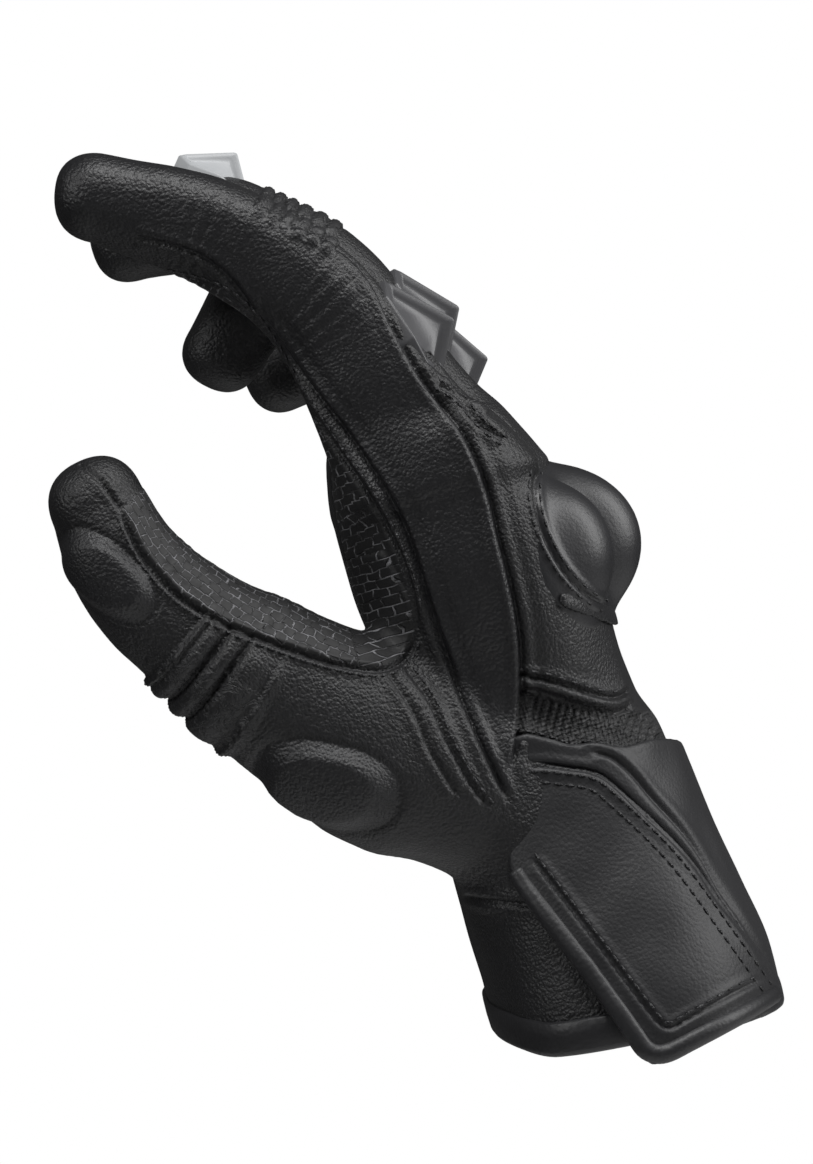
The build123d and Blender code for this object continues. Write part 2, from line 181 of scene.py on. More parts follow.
# ------------------------------------------------------------------ the leather's shape
@dataclass
class Tube:
    """A digit's leather as a distance field: an oval carried along a curved line.

    The line runs through the digit's joints with a round bend at each. Stations count the
    joints: 0 at the first, 3 at the centre of the round tip. At each station the section has
    its own depth on the back and on the palm side and its own half width; between them lies
    a superellipse |u/depth|^e + |w/width|^e = 1.

    Args:
        name: the digit's name, as in the frame's bodies.
        tip: length from the last joint to the centre of the round tip, in mm.
        lean: how far the tip leans on from the segment before, in degrees.
        back: (station, depth) pairs on the side away from the fold.
        palm: (station, depth) pairs on the side of the fold.
        width: (station, half width) pairs.
        start: how far the line reaches back behind the first joint, in mm.
        square: the superellipse's exponent.
        bend: how far from a joint the line starts to turn, in mm.
        joints: the joints' centres and the tip's, in mm, once seated.
        axis: the direction that the digit folds round, once seated.
    """

    name: str
    tip: float
    lean: float
    back: tuple
    palm: tuple
    width: tuple
    start: float = 16.0
    square: float = 2.35
    bend: float = 15.0
    joints: Array = field(default=None, repr=False)
    axis: Array = field(default=None, repr=False)

    def seat(self, joints: Array, axis: Array) -> None:
        """Lays out the line through the joints.

        Args:
            joints: (3, 3) joint centres, in mm.
            axis: the direction that the joints turn round.
        """
        self.axis = unit(np.asarray(axis, float))
        last = unit(joints[2] - joints[1])
        turn = Matrix.Rotation(math.radians(self.lean), 3, Vector(self.axis))
        tip = joints[2] + np.array(turn @ Vector(last)) * self.tip
        first = joints[0] - unit(joints[1] - joints[0]) * self.start
        self.joints = np.vstack([joints, tip])
        corners = np.vstack([first, self.joints])
        self.line, run = self._rounded(corners)
        ends = [0.0, *(run[np.argmin(np.linalg.norm(self.line - j, axis=1))] for j in self.joints)]
        before = -self.start / np.linalg.norm(joints[1] - joints[0])
        self.station = np.interp(run, [0.0, *ends[1:]], [before, 0, 1, 2, 3])
        self.along = unit(np.gradient(self.line, axis=0))
        self.out = unit(np.cross(self.axis, self.along)) * -1.0

    def _rounded(self, corners: Array) -> tuple[Array, Array]:
        """The line through corners with a quadratic curve at each, every half millimetre."""
        path = [corners[:1]]
        share = np.linspace(0, 1, 25)[:, None]
        for a, b, c in zip(corners, corners[1:], corners[2:]):
            reach = min(self.bend, 0.48 * np.linalg.norm(b - a), 0.48 * np.linalg.norm(c - b))
            start, end = b + unit(a - b) * reach, b + unit(c - b) * reach
            path.append((1 - share) ** 2 * start + 2 * share * (1 - share) * b + share**2 * end)
        path = np.vstack([*path, corners[-1:]])
        run = np.r_[0, np.cumsum(np.linalg.norm(np.diff(path, axis=0), axis=1))]
        even = np.arange(0, run[-1], 0.5)
        line = np.stack([np.interp(even, run, path[:, k]) for k in range(3)], axis=1)
        return line, even

    def locate(self, points: Array) -> tuple[Array, Array, Array, Array, Array]:
        """Where points lie round the line.

        Returns:
            station, height above the line towards the back, distance across it, distance
            past its end, and the index of the nearest point of the line.
        """
        nearest = np.empty(len(points), np.int32)
        line = self.line.astype(np.float32)
        half = 0.5 * (line**2).sum(1)
        for low in range(0, len(points), 200000):
            block = points[low : low + 200000].astype(np.float32)
            nearest[low : low + 200000] = np.argmax(block @ line.T - half, axis=1)
        offset = points - self.line[nearest]
        run = np.einsum("ij,ij->i", offset, self.along[nearest])
        past = np.where(nearest == len(line) - 1, np.clip(run, 0, None), 0.0)
        inside = np.clip(run, -0.3, 0.3)
        offset = offset - self.along[nearest] * inside[:, None]
        high = np.einsum("ij,ij->i", offset, self.out[nearest])
        across = offset @ self.axis
        return self.station[nearest], high, across, past, nearest

    def section(self, station: Array, high: Array) -> tuple[Array, Array]:
        """The section's size at a station.

        Args:
            station: where along the digit.
            high: height above the line, whose sign picks the back or the palm side.

        Returns:
            The depth on that side and the half width, in mm.
        """
        back = ease(*zip(*self.back), station)
        palm = ease(*zip(*self.palm), station)
        blend = smooth_step(high / np.maximum(back, palm), -0.25, 0.25)
        return palm + (back - palm) * blend, ease(*zip(*self.width), station)

    def distance(self, points: Array) -> Array:
        """Distance to the leather along the ray from the line, in mm; negative inside."""
        station, high, across, past, _ = self.locate(points)
        depth, width = self.section(station, high)
        e = self.square
        cap = ease(*zip(*self.width), station)
        scale = (np.abs(high / depth) ** e + np.abs(across / width) ** e
                 + (past / cap) ** e) ** (1 / e)
        reach = np.sqrt(high**2 + across**2 + past**2)
        return reach - reach / np.maximum(scale, 1e-6)


@dataclass
class Palm:
    """The hand and wrist as a distance field: an oval box lofted along z.

    Each row is z, then the section's reach to the palm (-x), to the back (+x), to the
    thumb's side (-y) and to the little finger's side (+y), all from a centre line.
    """

    rows: tuple = (
        (-14.0, 26.6, 35.5, 57.5, 57.5),
        (12.0, 26.6, 37.2, 54.5, 54.5),
        (28.0, 26.6, 35.0, 51.0, 51.0),
        (43.0, 26.6, 32.6, 47.0, 47.0),
        (58.0, 26.4, 31.0, 43.0, 42.5),
        (68.0, 26.2, 29.8, 41.6, 41.0),
        (78.0, 26.0, 26.4, 42.0, 41.5),
        (88.0, 26.5, 25.6, 45.0, 44.0),
        (104.0, 31.4, 25.5, 49.0, 48.0),
        (122.0, 32.8, 23.5, 51.0, 50.5),
        (136.0, 32.0, 18.5, 51.3, 50.5),
        (152.0, 29.0, 12.5, 51.0, 49.5),
    )
    centre_x: float = -4.0
    square: float = 2.7
    hollow: float = 2.2  # the palm's middle is this much hollower than its sides, in mm

    def reach(self, column: int, z: Array) -> Array:
        """One column of the rows at height z."""
        table = list(zip(*self.rows))
        return ease(table[0], table[column], z)

    def distance(self, points: Array) -> Array:
        """Distance to the leather along the level ray from the centre line, in mm."""
        x, y, z = points[:, 0] - self.centre_x, points[:, 1], points[:, 2]
        side = smooth_step(y, -12.0, 12.0)
        wide = self.reach(3, z) * (1 - side) + self.reach(4, z) * side
        turn = smooth_step(x, -6.0, 6.0)
        cup = self.hollow * np.exp(-((y / 26.0) ** 2)) * smooth_step(z, 70.0, 96.0)
        deep = (self.reach(1, z) - cup) * (1 - turn) + self.reach(2, z) * turn
        e = self.square
        scale = (np.abs(x / deep) ** e + np.abs(y / wide) ** e) ** (1 / e)
        reach = np.sqrt(x**2 + y**2)
        return reach - reach / np.maximum(scale, 1e-6)


@dataclass
class Skin:
    """A mesh in mm: points, four-cornered faces and a normal for each point."""

    points: Array
    quads: Array

    @classmethod
    def from_field(cls, low: Array, high: Array, field_of: Callable[[Array], Array],
                   step: float = VOXEL) -> "Skin":
        """The zero surface of a distance field on a lattice.

        Args:
            low: lowest corner of the lattice, in mm.
            high: highest corner, in mm.
            field_of: function from (n, 3) points to (n,) distances.
            step: distance between the lattice's points, in mm.

        Returns:
            The surface as four-cornered faces that point outwards.
        """
        low = np.floor(np.asarray(low, float) / step) * step
        counts = np.ceil((np.asarray(high, float) - low) / step).astype(int) + 1
        axes = [low[k] + step * np.arange(counts[k]) for k in range(3)]
        grid = np.stack(np.meshgrid(*axes, indexing="ij"), axis=-1).reshape(-1, 3)
        values = field_of(grid).reshape(counts).astype(np.float32)
        lattice = openvdb.FloatGrid(3.0)
        lattice.copyFromArray(np.clip(values / step, -3.0, 3.0))
        points, quads = lattice.convertToQuads(0.0)
        return cls(points.astype(float) * step + low, quads.astype(np.int64))

    def normals(self) -> Array:
        """Each point's normal: the mean of its faces' area vectors."""
        a, b, c, d = (self.points[self.quads[:, k]] for k in range(4))
        area = np.cross(c - a, d - b)
        total = np.zeros_like(self.points)
        for k in range(4):
            for axis in range(3):
                total[:, axis] += np.bincount(self.quads[:, k], area[:, axis], len(self.points))
        return unit(total + 1e-12)

    def keep(self, faces: Array) -> tuple["Skin", Array]:
        """The part of the mesh made of some faces.

        Args:
            faces: the numbers of the faces that stay.

        Returns:
            The smaller mesh, and the numbers of the points that it kept.
        """
        quads = self.quads[faces]
        used = np.unique(quads)
        number = np.full(len(self.points), -1)
        number[used] = np.arange(len(used))
        return Skin(self.points[used], number[quads]), used

    def refine(self) -> "Skin":
        """One Catmull-Clark step: every face becomes four and the surface is smoothed."""
        points, quads = self.points, self.quads
        n = len(points)
        centre = points[quads].mean(axis=1)
        pairs = np.stack([quads, np.roll(quads, -1, axis=1)], axis=-1).reshape(-1, 2)
        ordered = np.sort(pairs, axis=1)
        edges, back, times = np.unique(ordered, axis=0, return_inverse=True, return_counts=True)
        back = back.reshape(-1, 4)
        near = np.zeros((len(edges), 3))
        for k in range(4):
            for axis in range(3):
                near[:, axis] += np.bincount(back[:, k], centre[:, axis], len(edges))
        ends = points[edges].sum(axis=1)
        inner = (times == 2)[:, None]
        middle = np.where(inner, (ends + near) / 4.0, ends / 2.0)
        valence = np.bincount(edges.ravel(), minlength=n).astype(float)
        around = np.zeros((n, 3))
        half = (points[edges[:, 0]] + points[edges[:, 1]]) / 2
        faces_at = np.zeros((n, 3))
        faces_n = np.zeros(n)
        for axis in range(3):
            for k in range(2):
                around[:, axis] += np.bincount(edges[:, k], half[:, axis], n)
            for k in range(4):
                faces_at[:, axis] += np.bincount(quads[:, k], centre[:, axis], n)
        for k in range(4):
            faces_n += np.bincount(quads[:, k], minlength=n)
        v = valence[:, None]
        moved = (faces_at / faces_n[:, None] + 2 * around / v + (v - 3) * points) / v
        rim = np.zeros(n, bool)
        rim[edges[times == 1].ravel()] = True
        rim_sum = np.zeros((n, 3))
        outer = edges[times == 1]
        for axis in range(3):
            for k in range(2):
                rim_sum[:, axis] += np.bincount(outer[:, k], points[outer[:, 1 - k], axis], n)
        rims = np.bincount(outer.ravel(), minlength=n)
        moved[rim] = points[rim] * 0.75 + rim_sum[rim] / np.maximum(rims[rim], 1)[:, None] * 0.25
        corner, m = np.arange(len(quads)) + n, len(quads)
        side = back + n + m
        new = [
            np.stack([quads[:, k], side[:, k], corner, side[:, k - 1]], axis=1) for k in range(4)
        ]
        return Skin(np.vstack([moved, centre, middle]), np.stack(new, axis=1).reshape(-1, 4))


FINGERS = ("index", "middle", "ring", "little")
JOINTS = {name: (f"{name}_knuckle_bend", f"{name}_middle_bend", f"{name}_tip_bend")
          for name in FINGERS}
JOINTS["thumb"] = ("thumb_swing", "thumb_bend", "thumb_tip_bend")
DIGITS = {
    "index": Tube(
        "index", tip=24.6, lean=21.0,
        back=((-0.4, 22.0), (0.0, 17.5), (0.25, 13.6), (0.5, 11.6), (0.8, 10.4), (1.0, 10.2),
              (1.5, 10.0), (2.0, 9.6), (2.5, 9.2), (3.0, 9.0)),
        palm=((-0.4, 26.0), (0.0, 24.0), (0.25, 21.5), (0.5, 19.4), (1.0, 16.8), (1.5, 15.2),
              (2.0, 14.6), (2.5, 13.2), (3.0, 10.8)),
        width=((-0.4, 12.0), (0.0, 12.2), (0.5, 12.0), (1.0, 11.6), (2.0, 11.0), (3.0, 10.4)),
    ),
    "middle": Tube(
        "middle", tip=18.6, lean=42.0,
        back=((-0.4, 22.0), (0.0, 17.5), (0.25, 14.6), (0.5, 12.4), (0.8, 11.2), (1.0, 11.2),
              (1.5, 11.0), (2.0, 11.0), (3.0, 9.6)),
        palm=((-0.4, 28.0), (0.0, 26.5), (0.25, 23.0), (0.5, 19.0), (1.0, 15.5), (1.5, 13.8),
              (2.0, 12.0), (3.0, 9.0)),
        width=((-0.4, 12.0), (0.0, 12.2), (0.5, 12.0), (1.0, 11.7), (2.0, 11.1), (3.0, 10.2)),
    ),
    "ring": Tube(
        "ring", tip=19.6, lean=73.0,
        back=((-0.4, 21.5), (0.0, 17.0), (0.25, 14.2), (0.5, 12.2), (0.8, 11.2), (1.0, 11.0),
              (2.0, 10.6), (3.0, 9.4)),
        palm=((-0.4, 26.0), (0.0, 24.0), (0.5, 17.6), (1.0, 14.5), (2.0, 11.2), (3.0, 10.0)),
        width=((-0.4, 12.0), (0.0, 12.0), (0.5, 11.7), (1.0, 11.2), (2.0, 10.6), (3.0, 9.8)),
    ),
    "little": Tube(
        "little", tip=14.5, lean=44.0,
        back=((-0.4, 20.0), (0.0, 15.0), (0.25, 12.6), (0.5, 11.0), (1.0, 10.0), (2.0, 9.6),
              (3.0, 9.0)),
        palm=((-0.4, 23.0), (0.0, 20.0), (0.5, 15.6), (1.0, 12.6), (2.0, 10.4), (3.0, 9.2)),
        width=((-0.4, 11.4), (0.0, 11.2), (0.5, 10.6), (1.0, 10.0), (2.0, 9.6), (3.0, 9.2)),
    ),
    "thumb": Tube(
        "thumb", tip=19.5, lean=-25.0, start=10.0, square=2.25,
        back=((-0.3, 22.0), (0.0, 21.0), (0.5, 19.6), (0.9, 18.6), (1.0, 17.8), (1.3, 16.0),
              (2.0, 13.2), (2.5, 11.8), (3.0, 10.8)),
        palm=((-0.3, 17.4), (0.0, 20.6), (0.2, 23.6), (0.35, 23.8), (0.55, 21.8), (0.8, 18.8),
              (1.0, 16.6), (1.3, 14.6), (2.0, 13.2), (2.5, 12.4), (3.0, 10.8)),
        width=((-0.3, 16.0), (0.0, 18.0), (0.4, 18.5), (0.8, 16.6), (1.0, 15.6), (1.5, 14.4),
               (2.0, 13.2), (2.5, 12.4), (3.0, 10.8)),
    ),
}


@dataclass
class Leather:
    """The glove's whole leather: palm, fingers and thumb run into one another.

    Args:
        digits: the five digits, seated on the frame's joints.
        palm: the hand and wrist.
        root_z: height at which the fingers' own skins begin, in mm.
        slot_gap: half the gap between two fingers' roots, in mm.
        web: fillet between a finger and the hand, in mm.
        crotch: fillet between the thumb and the hand, in mm.
        tops: height of the hand's rounded end under each finger, in mm.
    """

    digits: dict
    palm: Palm
    root_z: float = 124.0
    slot_gap: float = 0.35
    web: float = 9.0
    crotch: float = 13.0
    tops: dict = field(default_factory=lambda: {
        "index": 147.0, "middle": 149.0, "ring": 145.0, "little": 138.0})

    def slices(self) -> dict:
        """Where each finger's slice starts and ends across the hand, in mm."""
        ys = [self.digits[name].joints[0][1] for name in FINGERS]
        middles = [(a + b) / 2 for a, b in zip(ys, ys[1:])]
        edges = [-200.0, *middles, 200.0]
        return {name: (edges[i], edges[i + 1]) for i, name in enumerate(FINGERS)}

    def finger(self, name: str, points: Array) -> Array:
        """Distance to one finger with its own slice of the hand.

        The slice is the hand between two upright planes and under a rounded top, and the
        planes' rounding grows from nothing at root_z, where the slices are one surface.
        """
        low, high = self.slices()[name]
        rise = smooth_step(points[:, 2], self.root_z + 0.5, self.root_z + 14.0)
        hand = self.palm.distance(points)
        y = points[:, 1]
        walls = np.maximum(low - y, y - high) + self.slot_gap * rise
        round_edge = 0.05 + 5.0 * rise
        near = np.clip(round_edge - np.abs(hand - walls), 0.0, None) / round_edge
        block = np.maximum(hand, walls) + near**3 * round_edge / 6.0
        block = smooth_max(block, points[:, 2] - self.tops[name], 8.0)
        sunk = 1.0 - smooth_step(points[:, 2], self.root_z + 0.5, self.root_z + 11.0)
        tube = self.digits[name].distance(points) + 14.0 * sunk
        return smooth_min(block, tube, self.web)

    def hand(self, points: Array) -> Array:
        """Distance to the hand with the thumb, without the fingers."""
        thumb = np.full(len(points), 50.0)
        near = points[:, 0] < 12.0
        thumb[near] = self.digits["thumb"].distance(points[near])
        return smooth_min(self.palm.distance(points), thumb, self.crotch)

    def finger_skin(self, name: str) -> Skin:
        """One finger's skin, from its root to its tip."""
        tube = self.digits[name]
        low = np.minimum(tube.line.min(0) - 24.0, [-40.0, 0, 0])
        high = np.maximum(tube.line.max(0) + 22.0, [28.0, 0, 0])
        span = self.slices()[name]
        low[1] = max(tube.joints[0][1] - 16.0, span[0] - 3.0)
        high[1] = min(tube.joints[0][1] + 16.0, span[1] + 3.0)
        low[1] = min(low[1], tube.line[:, 1].min() - 14.5)
        high[1] = max(high[1], tube.line[:, 1].max() + 14.5)
        low[2] = self.root_z - 4.0
        return Skin.from_field(low, high, lambda p: self.finger(name, p))

    def hand_skin(self) -> Skin:
        """The hand's and thumb's skin, open at the wrist and at the fingers."""
        low, high = np.array([-102.0, -64.0, -6.0]), np.array([38.0, 64.0, 168.0])

        def closed(points: Array) -> Array:
            """The hand's field, cut off above the fingers' roots on the hand's side."""
            field_here = self.hand(points)
            lid = np.where(points[:, 0] > -45.0, points[:, 2] - self.root_z - 3.2, -50.0)
            return np.maximum(field_here, lid)

        return Skin.from_field(low, high, closed)


# ------------------------------------------------------------------ laying out by the side view
SIDE = np.array([-21.9, -900.0, 115.8])  # a far point on the thumb's side, in mm


def flat(points: Array) -> Array:
    """(x, z) where the line from SIDE through each point meets the middle plane y = 0."""
    share = -SIDE[1] / (points[:, 1] - SIDE[1])
    return SIDE[[0, 2]] + (points[:, [0, 2]] - SIDE[[0, 2]]) * share[:, None]


def facing(points: Array, normals: Array) -> Array:
    """1 where the leather faces SIDE and 0 where it turns away."""
    return smooth_step(np.einsum("ij,ij->i", normals, unit(SIDE - points)), 0.02, 0.3)


def beside(at: Array, curve: Array, reach: float = 7.0) -> tuple[Array, Array]:
    """Signed distance of flat points from a curve, and their share of its length.

    The distance is the perpendicular one, positive to the left of the curve's run, and past
    the curve's ends it is the distance to the end. Points further than reach get 99.

    Args:
        at: (n, 2) flat points in mm.
        curve: (m, 2) points of the curve, evenly spaced.
        reach: how far from the curve the distance matters, in mm.

    Returns:
        The distances, and shares from 0 at the curve's start to 1 at its end.
    """
    distance, run = np.full(len(at), 99.0), np.zeros(len(at))
    tangent = unit(np.gradient(curve, axis=0))
    near = np.flatnonzero(
        ((at > curve.min(0) - reach) & (at < curve.max(0) + reach)).all(axis=1)
    )
    for low in range(0, len(near), 40000):
        chosen = near[low : low + 40000]
        gap = at[chosen][:, None, :] - curve[None]
        square = (gap**2).sum(axis=-1)
        i = square.argmin(axis=1)
        gap = gap[np.arange(len(i)), i]
        side = tangent[i, 0] * gap[:, 1] - tangent[i, 1] * gap[:, 0]
        ends = (i == 0) | (i == len(curve) - 1)
        size = np.where(ends, np.linalg.norm(gap, axis=1), np.abs(side))
        distance[chosen] = np.where(size < reach, size * np.where(side < 0, -1, 1), 99.0)
        run[chosen] = i / (len(curve) - 1)
    return distance, run


def within(at: Array, corners: Array) -> Array:
    """Signed distance in mm to a closed outline, negative inside, for flat points."""
    corners = np.asarray(corners, float)
    best, inside = np.full(len(at), 1e9), np.zeros(len(at), bool)
    for a, b in zip(corners, np.roll(corners, -1, axis=0)):
        edge, gap = b - a, at - a
        share = np.clip((gap @ edge) / (edge @ edge), 0, 1)
        best = np.minimum(best, ((gap - share[:, None] * edge) ** 2).sum(axis=1))
        above = (a[1] > at[:, 1]) != (b[1] > at[:, 1])
        crossing = a[0] + (at[:, 1] - a[1]) * edge[0] / (edge[1] if edge[1] else 1e-9)
        inside ^= above & (at[:, 0] < crossing)
    return np.sqrt(best) * np.where(inside, -1.0, 1.0)


def rounded_outline(corners: tuple, count: int = 120) -> Array:
    """A closed Catmull-Rom outline through corners, evenly sampled."""
    ring = np.asarray(corners, float)
    ring = np.vstack([ring[-2:], ring, ring[:2]])
    curve = spline(ring, count + 60)
    start = np.argmin(np.linalg.norm(curve - ring[2], axis=1)[: len(curve) // 2])
    end = len(curve) // 2 + np.argmin(np.linalg.norm(curve - ring[2], axis=1)[len(curve) // 2 :])
    return curve[start:end]


@dataclass(frozen=True)
class Seam:
    """A seam, fold or piped edge, drawn as (x, z) in mm on the side view.

    Args:
        name: what it joins.
        path: points that it runs through.
        skins: which skins it marks.
        depth: how deep the groove is, in mm.
        width: the groove's half width, in mm.
        puff: how far the leather swells on both sides, in mm.
        step: how much higher the leather lies on the left of the run, in mm.
        rows: offsets of the stitch rows from the seam, in mm.
    """

    name: str
    path: tuple
    skins: tuple
    depth: float = 0.75
    width: float = 0.55
    puff: float = 0.35
    step: float = 0.0
    rows: tuple = ()

    def curve(self) -> Array:
        """The seam's line, with a point about every 0.6 mm."""
        path = np.asarray(self.path, float)
        length = np.linalg.norm(np.diff(path, axis=0), axis=1).sum()
        return spline(path, max(int(length / 0.6), 12))

    def relief(self, at: Array) -> Array:
        """Height of the leather at flat points: a Gaussian groove between two swells."""
        distance, run = beside(at, self.curve())
        size = np.abs(distance)
        swell = np.exp(-(((size - 2.6 * self.width) / (1.9 * self.width)) ** 2))
        height = self.puff * swell - self.depth * np.exp(-((size / self.width) ** 2))
        side = self.step * smooth_step(distance, -0.5, 0.5) * (1 - smooth_step(size, 2.5, 6.5))
        fade = np.minimum(smooth_step(run, 0.0, 0.05), 1 - smooth_step(run, 0.95, 1.0))
        return np.where(size < 90, (height + side) * fade, 0.0)


HAND_INDEX = ("hand", "index")
SEAMS = (
    Seam("side panel to palm", ((-38.5, 187.1), (-32.6, 169.5), (-25.5, 151.5), (-19.4, 130.2),
         (-18.1, 100.5), (-15.6, 75.4), (-12.7, 57.9)), HAND_INDEX, 1.0, 0.7, 0.6, step=-0.5),
    Seam("side panel to palm, far part", ((-61.0, 211.5), (-50.0, 205.0), (-43.5, 198.0),
         (-38.5, 187.1)), ("index",), 0.6, 0.6, 0.35),
    Seam("side panel to back", ((-27.5, 205.5), (-20.0, 200.5), (-13.5, 193.0), (-9.6, 184.0),
         (-8.0, 173.5), (-5.0, 160.6), (0.6, 146.0), (2.4, 132.0), (1.9, 119.2), (0.6, 98.4),
         (-3.9, 80.6), (-10.9, 64.5)), HAND_INDEX, 1.1, 0.7, 0.6, step=-0.6),
    Seam("grip strip of the index finger", ((-75.5, 212.5), (-66.5, 206.4), (-51.8, 198.4),
         (-43.6, 192.4), (-37.6, 181.6), (-34.0, 167.2), (-29.5, 152.0), (-24.6, 138.0),
         (-21.6, 124.0), (-21.0, 112.0), (-22.6, 104.0)), HAND_INDEX, 0.7, 0.5, 0.3, rows=(1.1,)),
    Seam("web grip's border", ((-82.0, 150.5), (-80.0, 139.0), (-74.6, 127.5), (-66.0, 118.0),
         (-56.0, 110.3), (-44.5, 102.5), (-34.0, 97.6), (-27.0, 98.6), (-22.6, 104.0)),
         ("hand",), 0.7, 0.5, 0.35, rows=(-1.2,)),
    Seam("upper seam of the thumb", ((-88.2, 163.6), (-84.6, 158.2), (-81.6, 150.5)),
         ("hand",), 0.6, 0.5, 0.3),
    Seam("thumb's root, upper fold", ((-28.0, 98.0), (-24.4, 88.0), (-23.0, 78.0), (-20.6, 67.0),
         (-18.0, 60.0)), ("hand",), 0.6, 0.6, 0.4, rows=(1.3,)),
    Seam("thumb's root, lower fold", ((-32.0, 97.0), (-28.6, 86.0), (-27.2, 75.0),
         (-24.0, 64.0)), ("hand",), 0.5, 0.6, 0.35),
    Seam("back hem, upper", ((-2.6, 87.6), (4.0, 84.4), (10.6, 80.0), (17.2, 76.4), (22.0, 77.0)),
         ("hand",), 0.9, 0.6, 0.5, rows=(1.3,)),
    Seam("back hem, lower", ((-3.4, 84.0), (3.0, 80.8), (9.4, 76.6), (16.4, 73.0), (21.0, 73.4)),
         ("hand",), 1.3, 0.8, 0.3),
    Seam("guard's stitching", ((14.6, 132.6), (12.4, 126.0), (12.2, 117.6), (14.2, 108.6),
         (17.6, 101.8), (21.6, 97.4)), ("hand", "index", "guard"), 0.6, 0.5, 0.35,
         rows=(-1.3, 1.3)),
    Seam("cuff's palm seam", ((-33.0, 42.4), (-28.0, 40.3), (-18.9, 36.5), (-10.0, 33.0)),
         ("hand",), 0.7, 0.6, 0.35),
    Seam("pucker behind the cap", ((-3.0, 165.5), (0.6, 160.6), (3.2, 154.8), (8.8, 150.4)),
         ("index",), 1.0, 0.7, 0.7, rows=(1.2,)),
    Seam("root of the index finger", ((-2.0, 158.4), (1.8, 154.2), (5.0, 147.2), (9.0, 141.6)),
         HAND_INDEX, 0.9, 0.6, 0.6, rows=(-1.1, 1.1)),
    Seam("collar", ((-7.4, 74.6), (-1.0, 71.2), (4.6, 67.4), (9.6, 66.6), (14.4, 63.0),
         (18.6, 56.8)), ("hand",), 0.9, 0.7, 0.5, rows=(1.2,)),
)


@dataclass(frozen=True)
class Mound:
    """A pad under the leather, drawn as an oval on the side view.

    Args:
        centre: its middle (x, z) on the side view, in mm.
        lean: the long axis's angle from +x towards +z, in degrees.
        half: half length and half width, in mm.
        rise: height of the crown, in mm.
        moat: depth of the stitched line round it, in mm.
    """

    centre: tuple
    lean: float
    half: tuple
    rise: float
    moat: float = 0.6

    def radius(self, at: Array) -> Array:
        """1 on the oval's edge: a superellipse of exponent 2.4 round the centre."""
        gap = at - np.array(self.centre)
        a = math.radians(self.lean)
        along = gap[:, 0] * math.cos(a) + gap[:, 1] * math.sin(a)
        across = gap[:, 1] * math.cos(a) - gap[:, 0] * math.sin(a)
        return (np.abs(along / self.half[0]) ** 2.4 + np.abs(across / self.half[1]) ** 2.4) ** (
            1 / 2.4
        )

    def relief(self, at: Array) -> Array:
        """A steep-sided crown inside the edge and a groove along it."""
        radius = self.radius(at)
        crown = self.rise * (1 - smooth_step(radius, 0.6, 1.02)) * (1.0 + 0.3 * (1 - radius**2))
        edge = (radius - 1.04) * self.half[1]
        return np.where(radius < 1.6, crown - self.moat * np.exp(-((edge / 0.7) ** 2)), 0.0)


TIP_PAD = Mound((-89.6, 136.6), -56.0, (13.6, 7.4), 1.7, 0.4)
THENAR_PAD = Mound((-53.4, 75.0), -28.0, (17.0, 9.8), 2.0, 0.35)
WEB_GRIP = ((-81.0, 150.0), (-79.3, 139.4), (-74.0, 128.2), (-65.6, 118.8), (-55.8, 111.0),
            (-44.4, 103.2), (-34.0, 98.4), (-27.2, 99.4), (-23.4, 104.4), (-22.4, 112.0),
            (-25.4, 124.0), (-40.0, 126.0), (-56.0, 140.0), (-70.0, 158.0))
PALM_GRIP = ((-22.4, 112.0), (-22.4, 124.0), (-25.4, 138.0), (-30.3, 152.0), (-34.8, 167.2),
             (-38.4, 182.0), (-44.6, 193.2), (-52.0, 199.4), (-66.5, 207.4), (-75.5, 213.4),
             (-90.0, 205.0), (-60.0, 180.0), (-48.0, 150.0), (-44.0, 112.0))


class Finish(Enum):
    """What a piece of the skin is made of."""

    HIDE = "cowhide"
    PANEL = "smooth_leather"
    PAD = "padded_leather"
    GRIP = "grip_suede"
    RIBS = "stretch_fabric"
    ELASTIC = "elastic"


@dataclass(frozen=True)
class Zone:
    """How a part of the glove is placed: tied to one body, or, where it spans a joint from one
    body to the next, kept at rest with no parent.

    Args:
        name: the zone's name.
        first: the body that it rides, or the body on the joint's near side.
        second: the body on the joint's far side, if any.
        start: where the bend would begin, in mm; not used.
        end: where the bend would end, in mm; not used.
    """

    name: str
    first: str
    second: str = ""
    start: tuple = ()
    end: tuple = ()

    def bind(self, piece: bpy.types.Object) -> None:
        """Ties a piece to its body, or, for a zone over a joint, bakes its place and leaves it
        without a parent.
        """
        if self.second:
            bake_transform(piece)
        else:
            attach(piece, self.first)


WRIST_NORMAL = unit(np.array([-0.35, 0.0, 0.94]))
WRIST_BEND = (tuple(WRIST_NORMAL * 46.0), tuple(WRIST_NORMAL * 64.0))  # mm, start and end
WRIST_CUT = 65.0  # mm along WRIST_NORMAL, where the cuff's skin ends and the hand's begins


def digit_zones(tube: Tube, hand: str) -> list[Zone]:
    """A digit's three zones, each spanning one joint.

    The middle and end zones span their joint along the bisector of their two bones.

    Args:
        tube: the digit.
        hand: the body that the digit's root hangs on.

    Returns:
        The root, middle and end zones.
    """
    name, joints = tube.name, tube.joints
    bones = unit(np.diff(joints, axis=0))
    first, second = unit(bones[0] + bones[1]), unit(bones[1] + bones[2])
    if name == "thumb":
        root = Zone("thumb_root", hand, "thumb_base", (-36.0, -40.0, 85.0), (-50.0, -40.0, 85.0))
        spans = (-4.0, 10.0)
    else:
        x, y, z = joints[0]
        low = max(z - 9.0, 124.6)
        high = max(z + 10, low + 14)
        root = Zone(f"{name}_root", hand, f"{name}_base", (x, y, low), (x, y, high))
        spans = (-8.0, 5.0)
    middle = Zone(f"{name}_middle", f"{name}_base", f"{name}_mid",
                  tuple(joints[1] + first * spans[0]), tuple(joints[1] + first * spans[1]))
    tip = Zone(f"{name}_end", f"{name}_mid", f"{name}_tip", tuple(joints[2] - second * 5.0),
               tuple(joints[2] + second * 5.0))
    return [root, middle, tip]


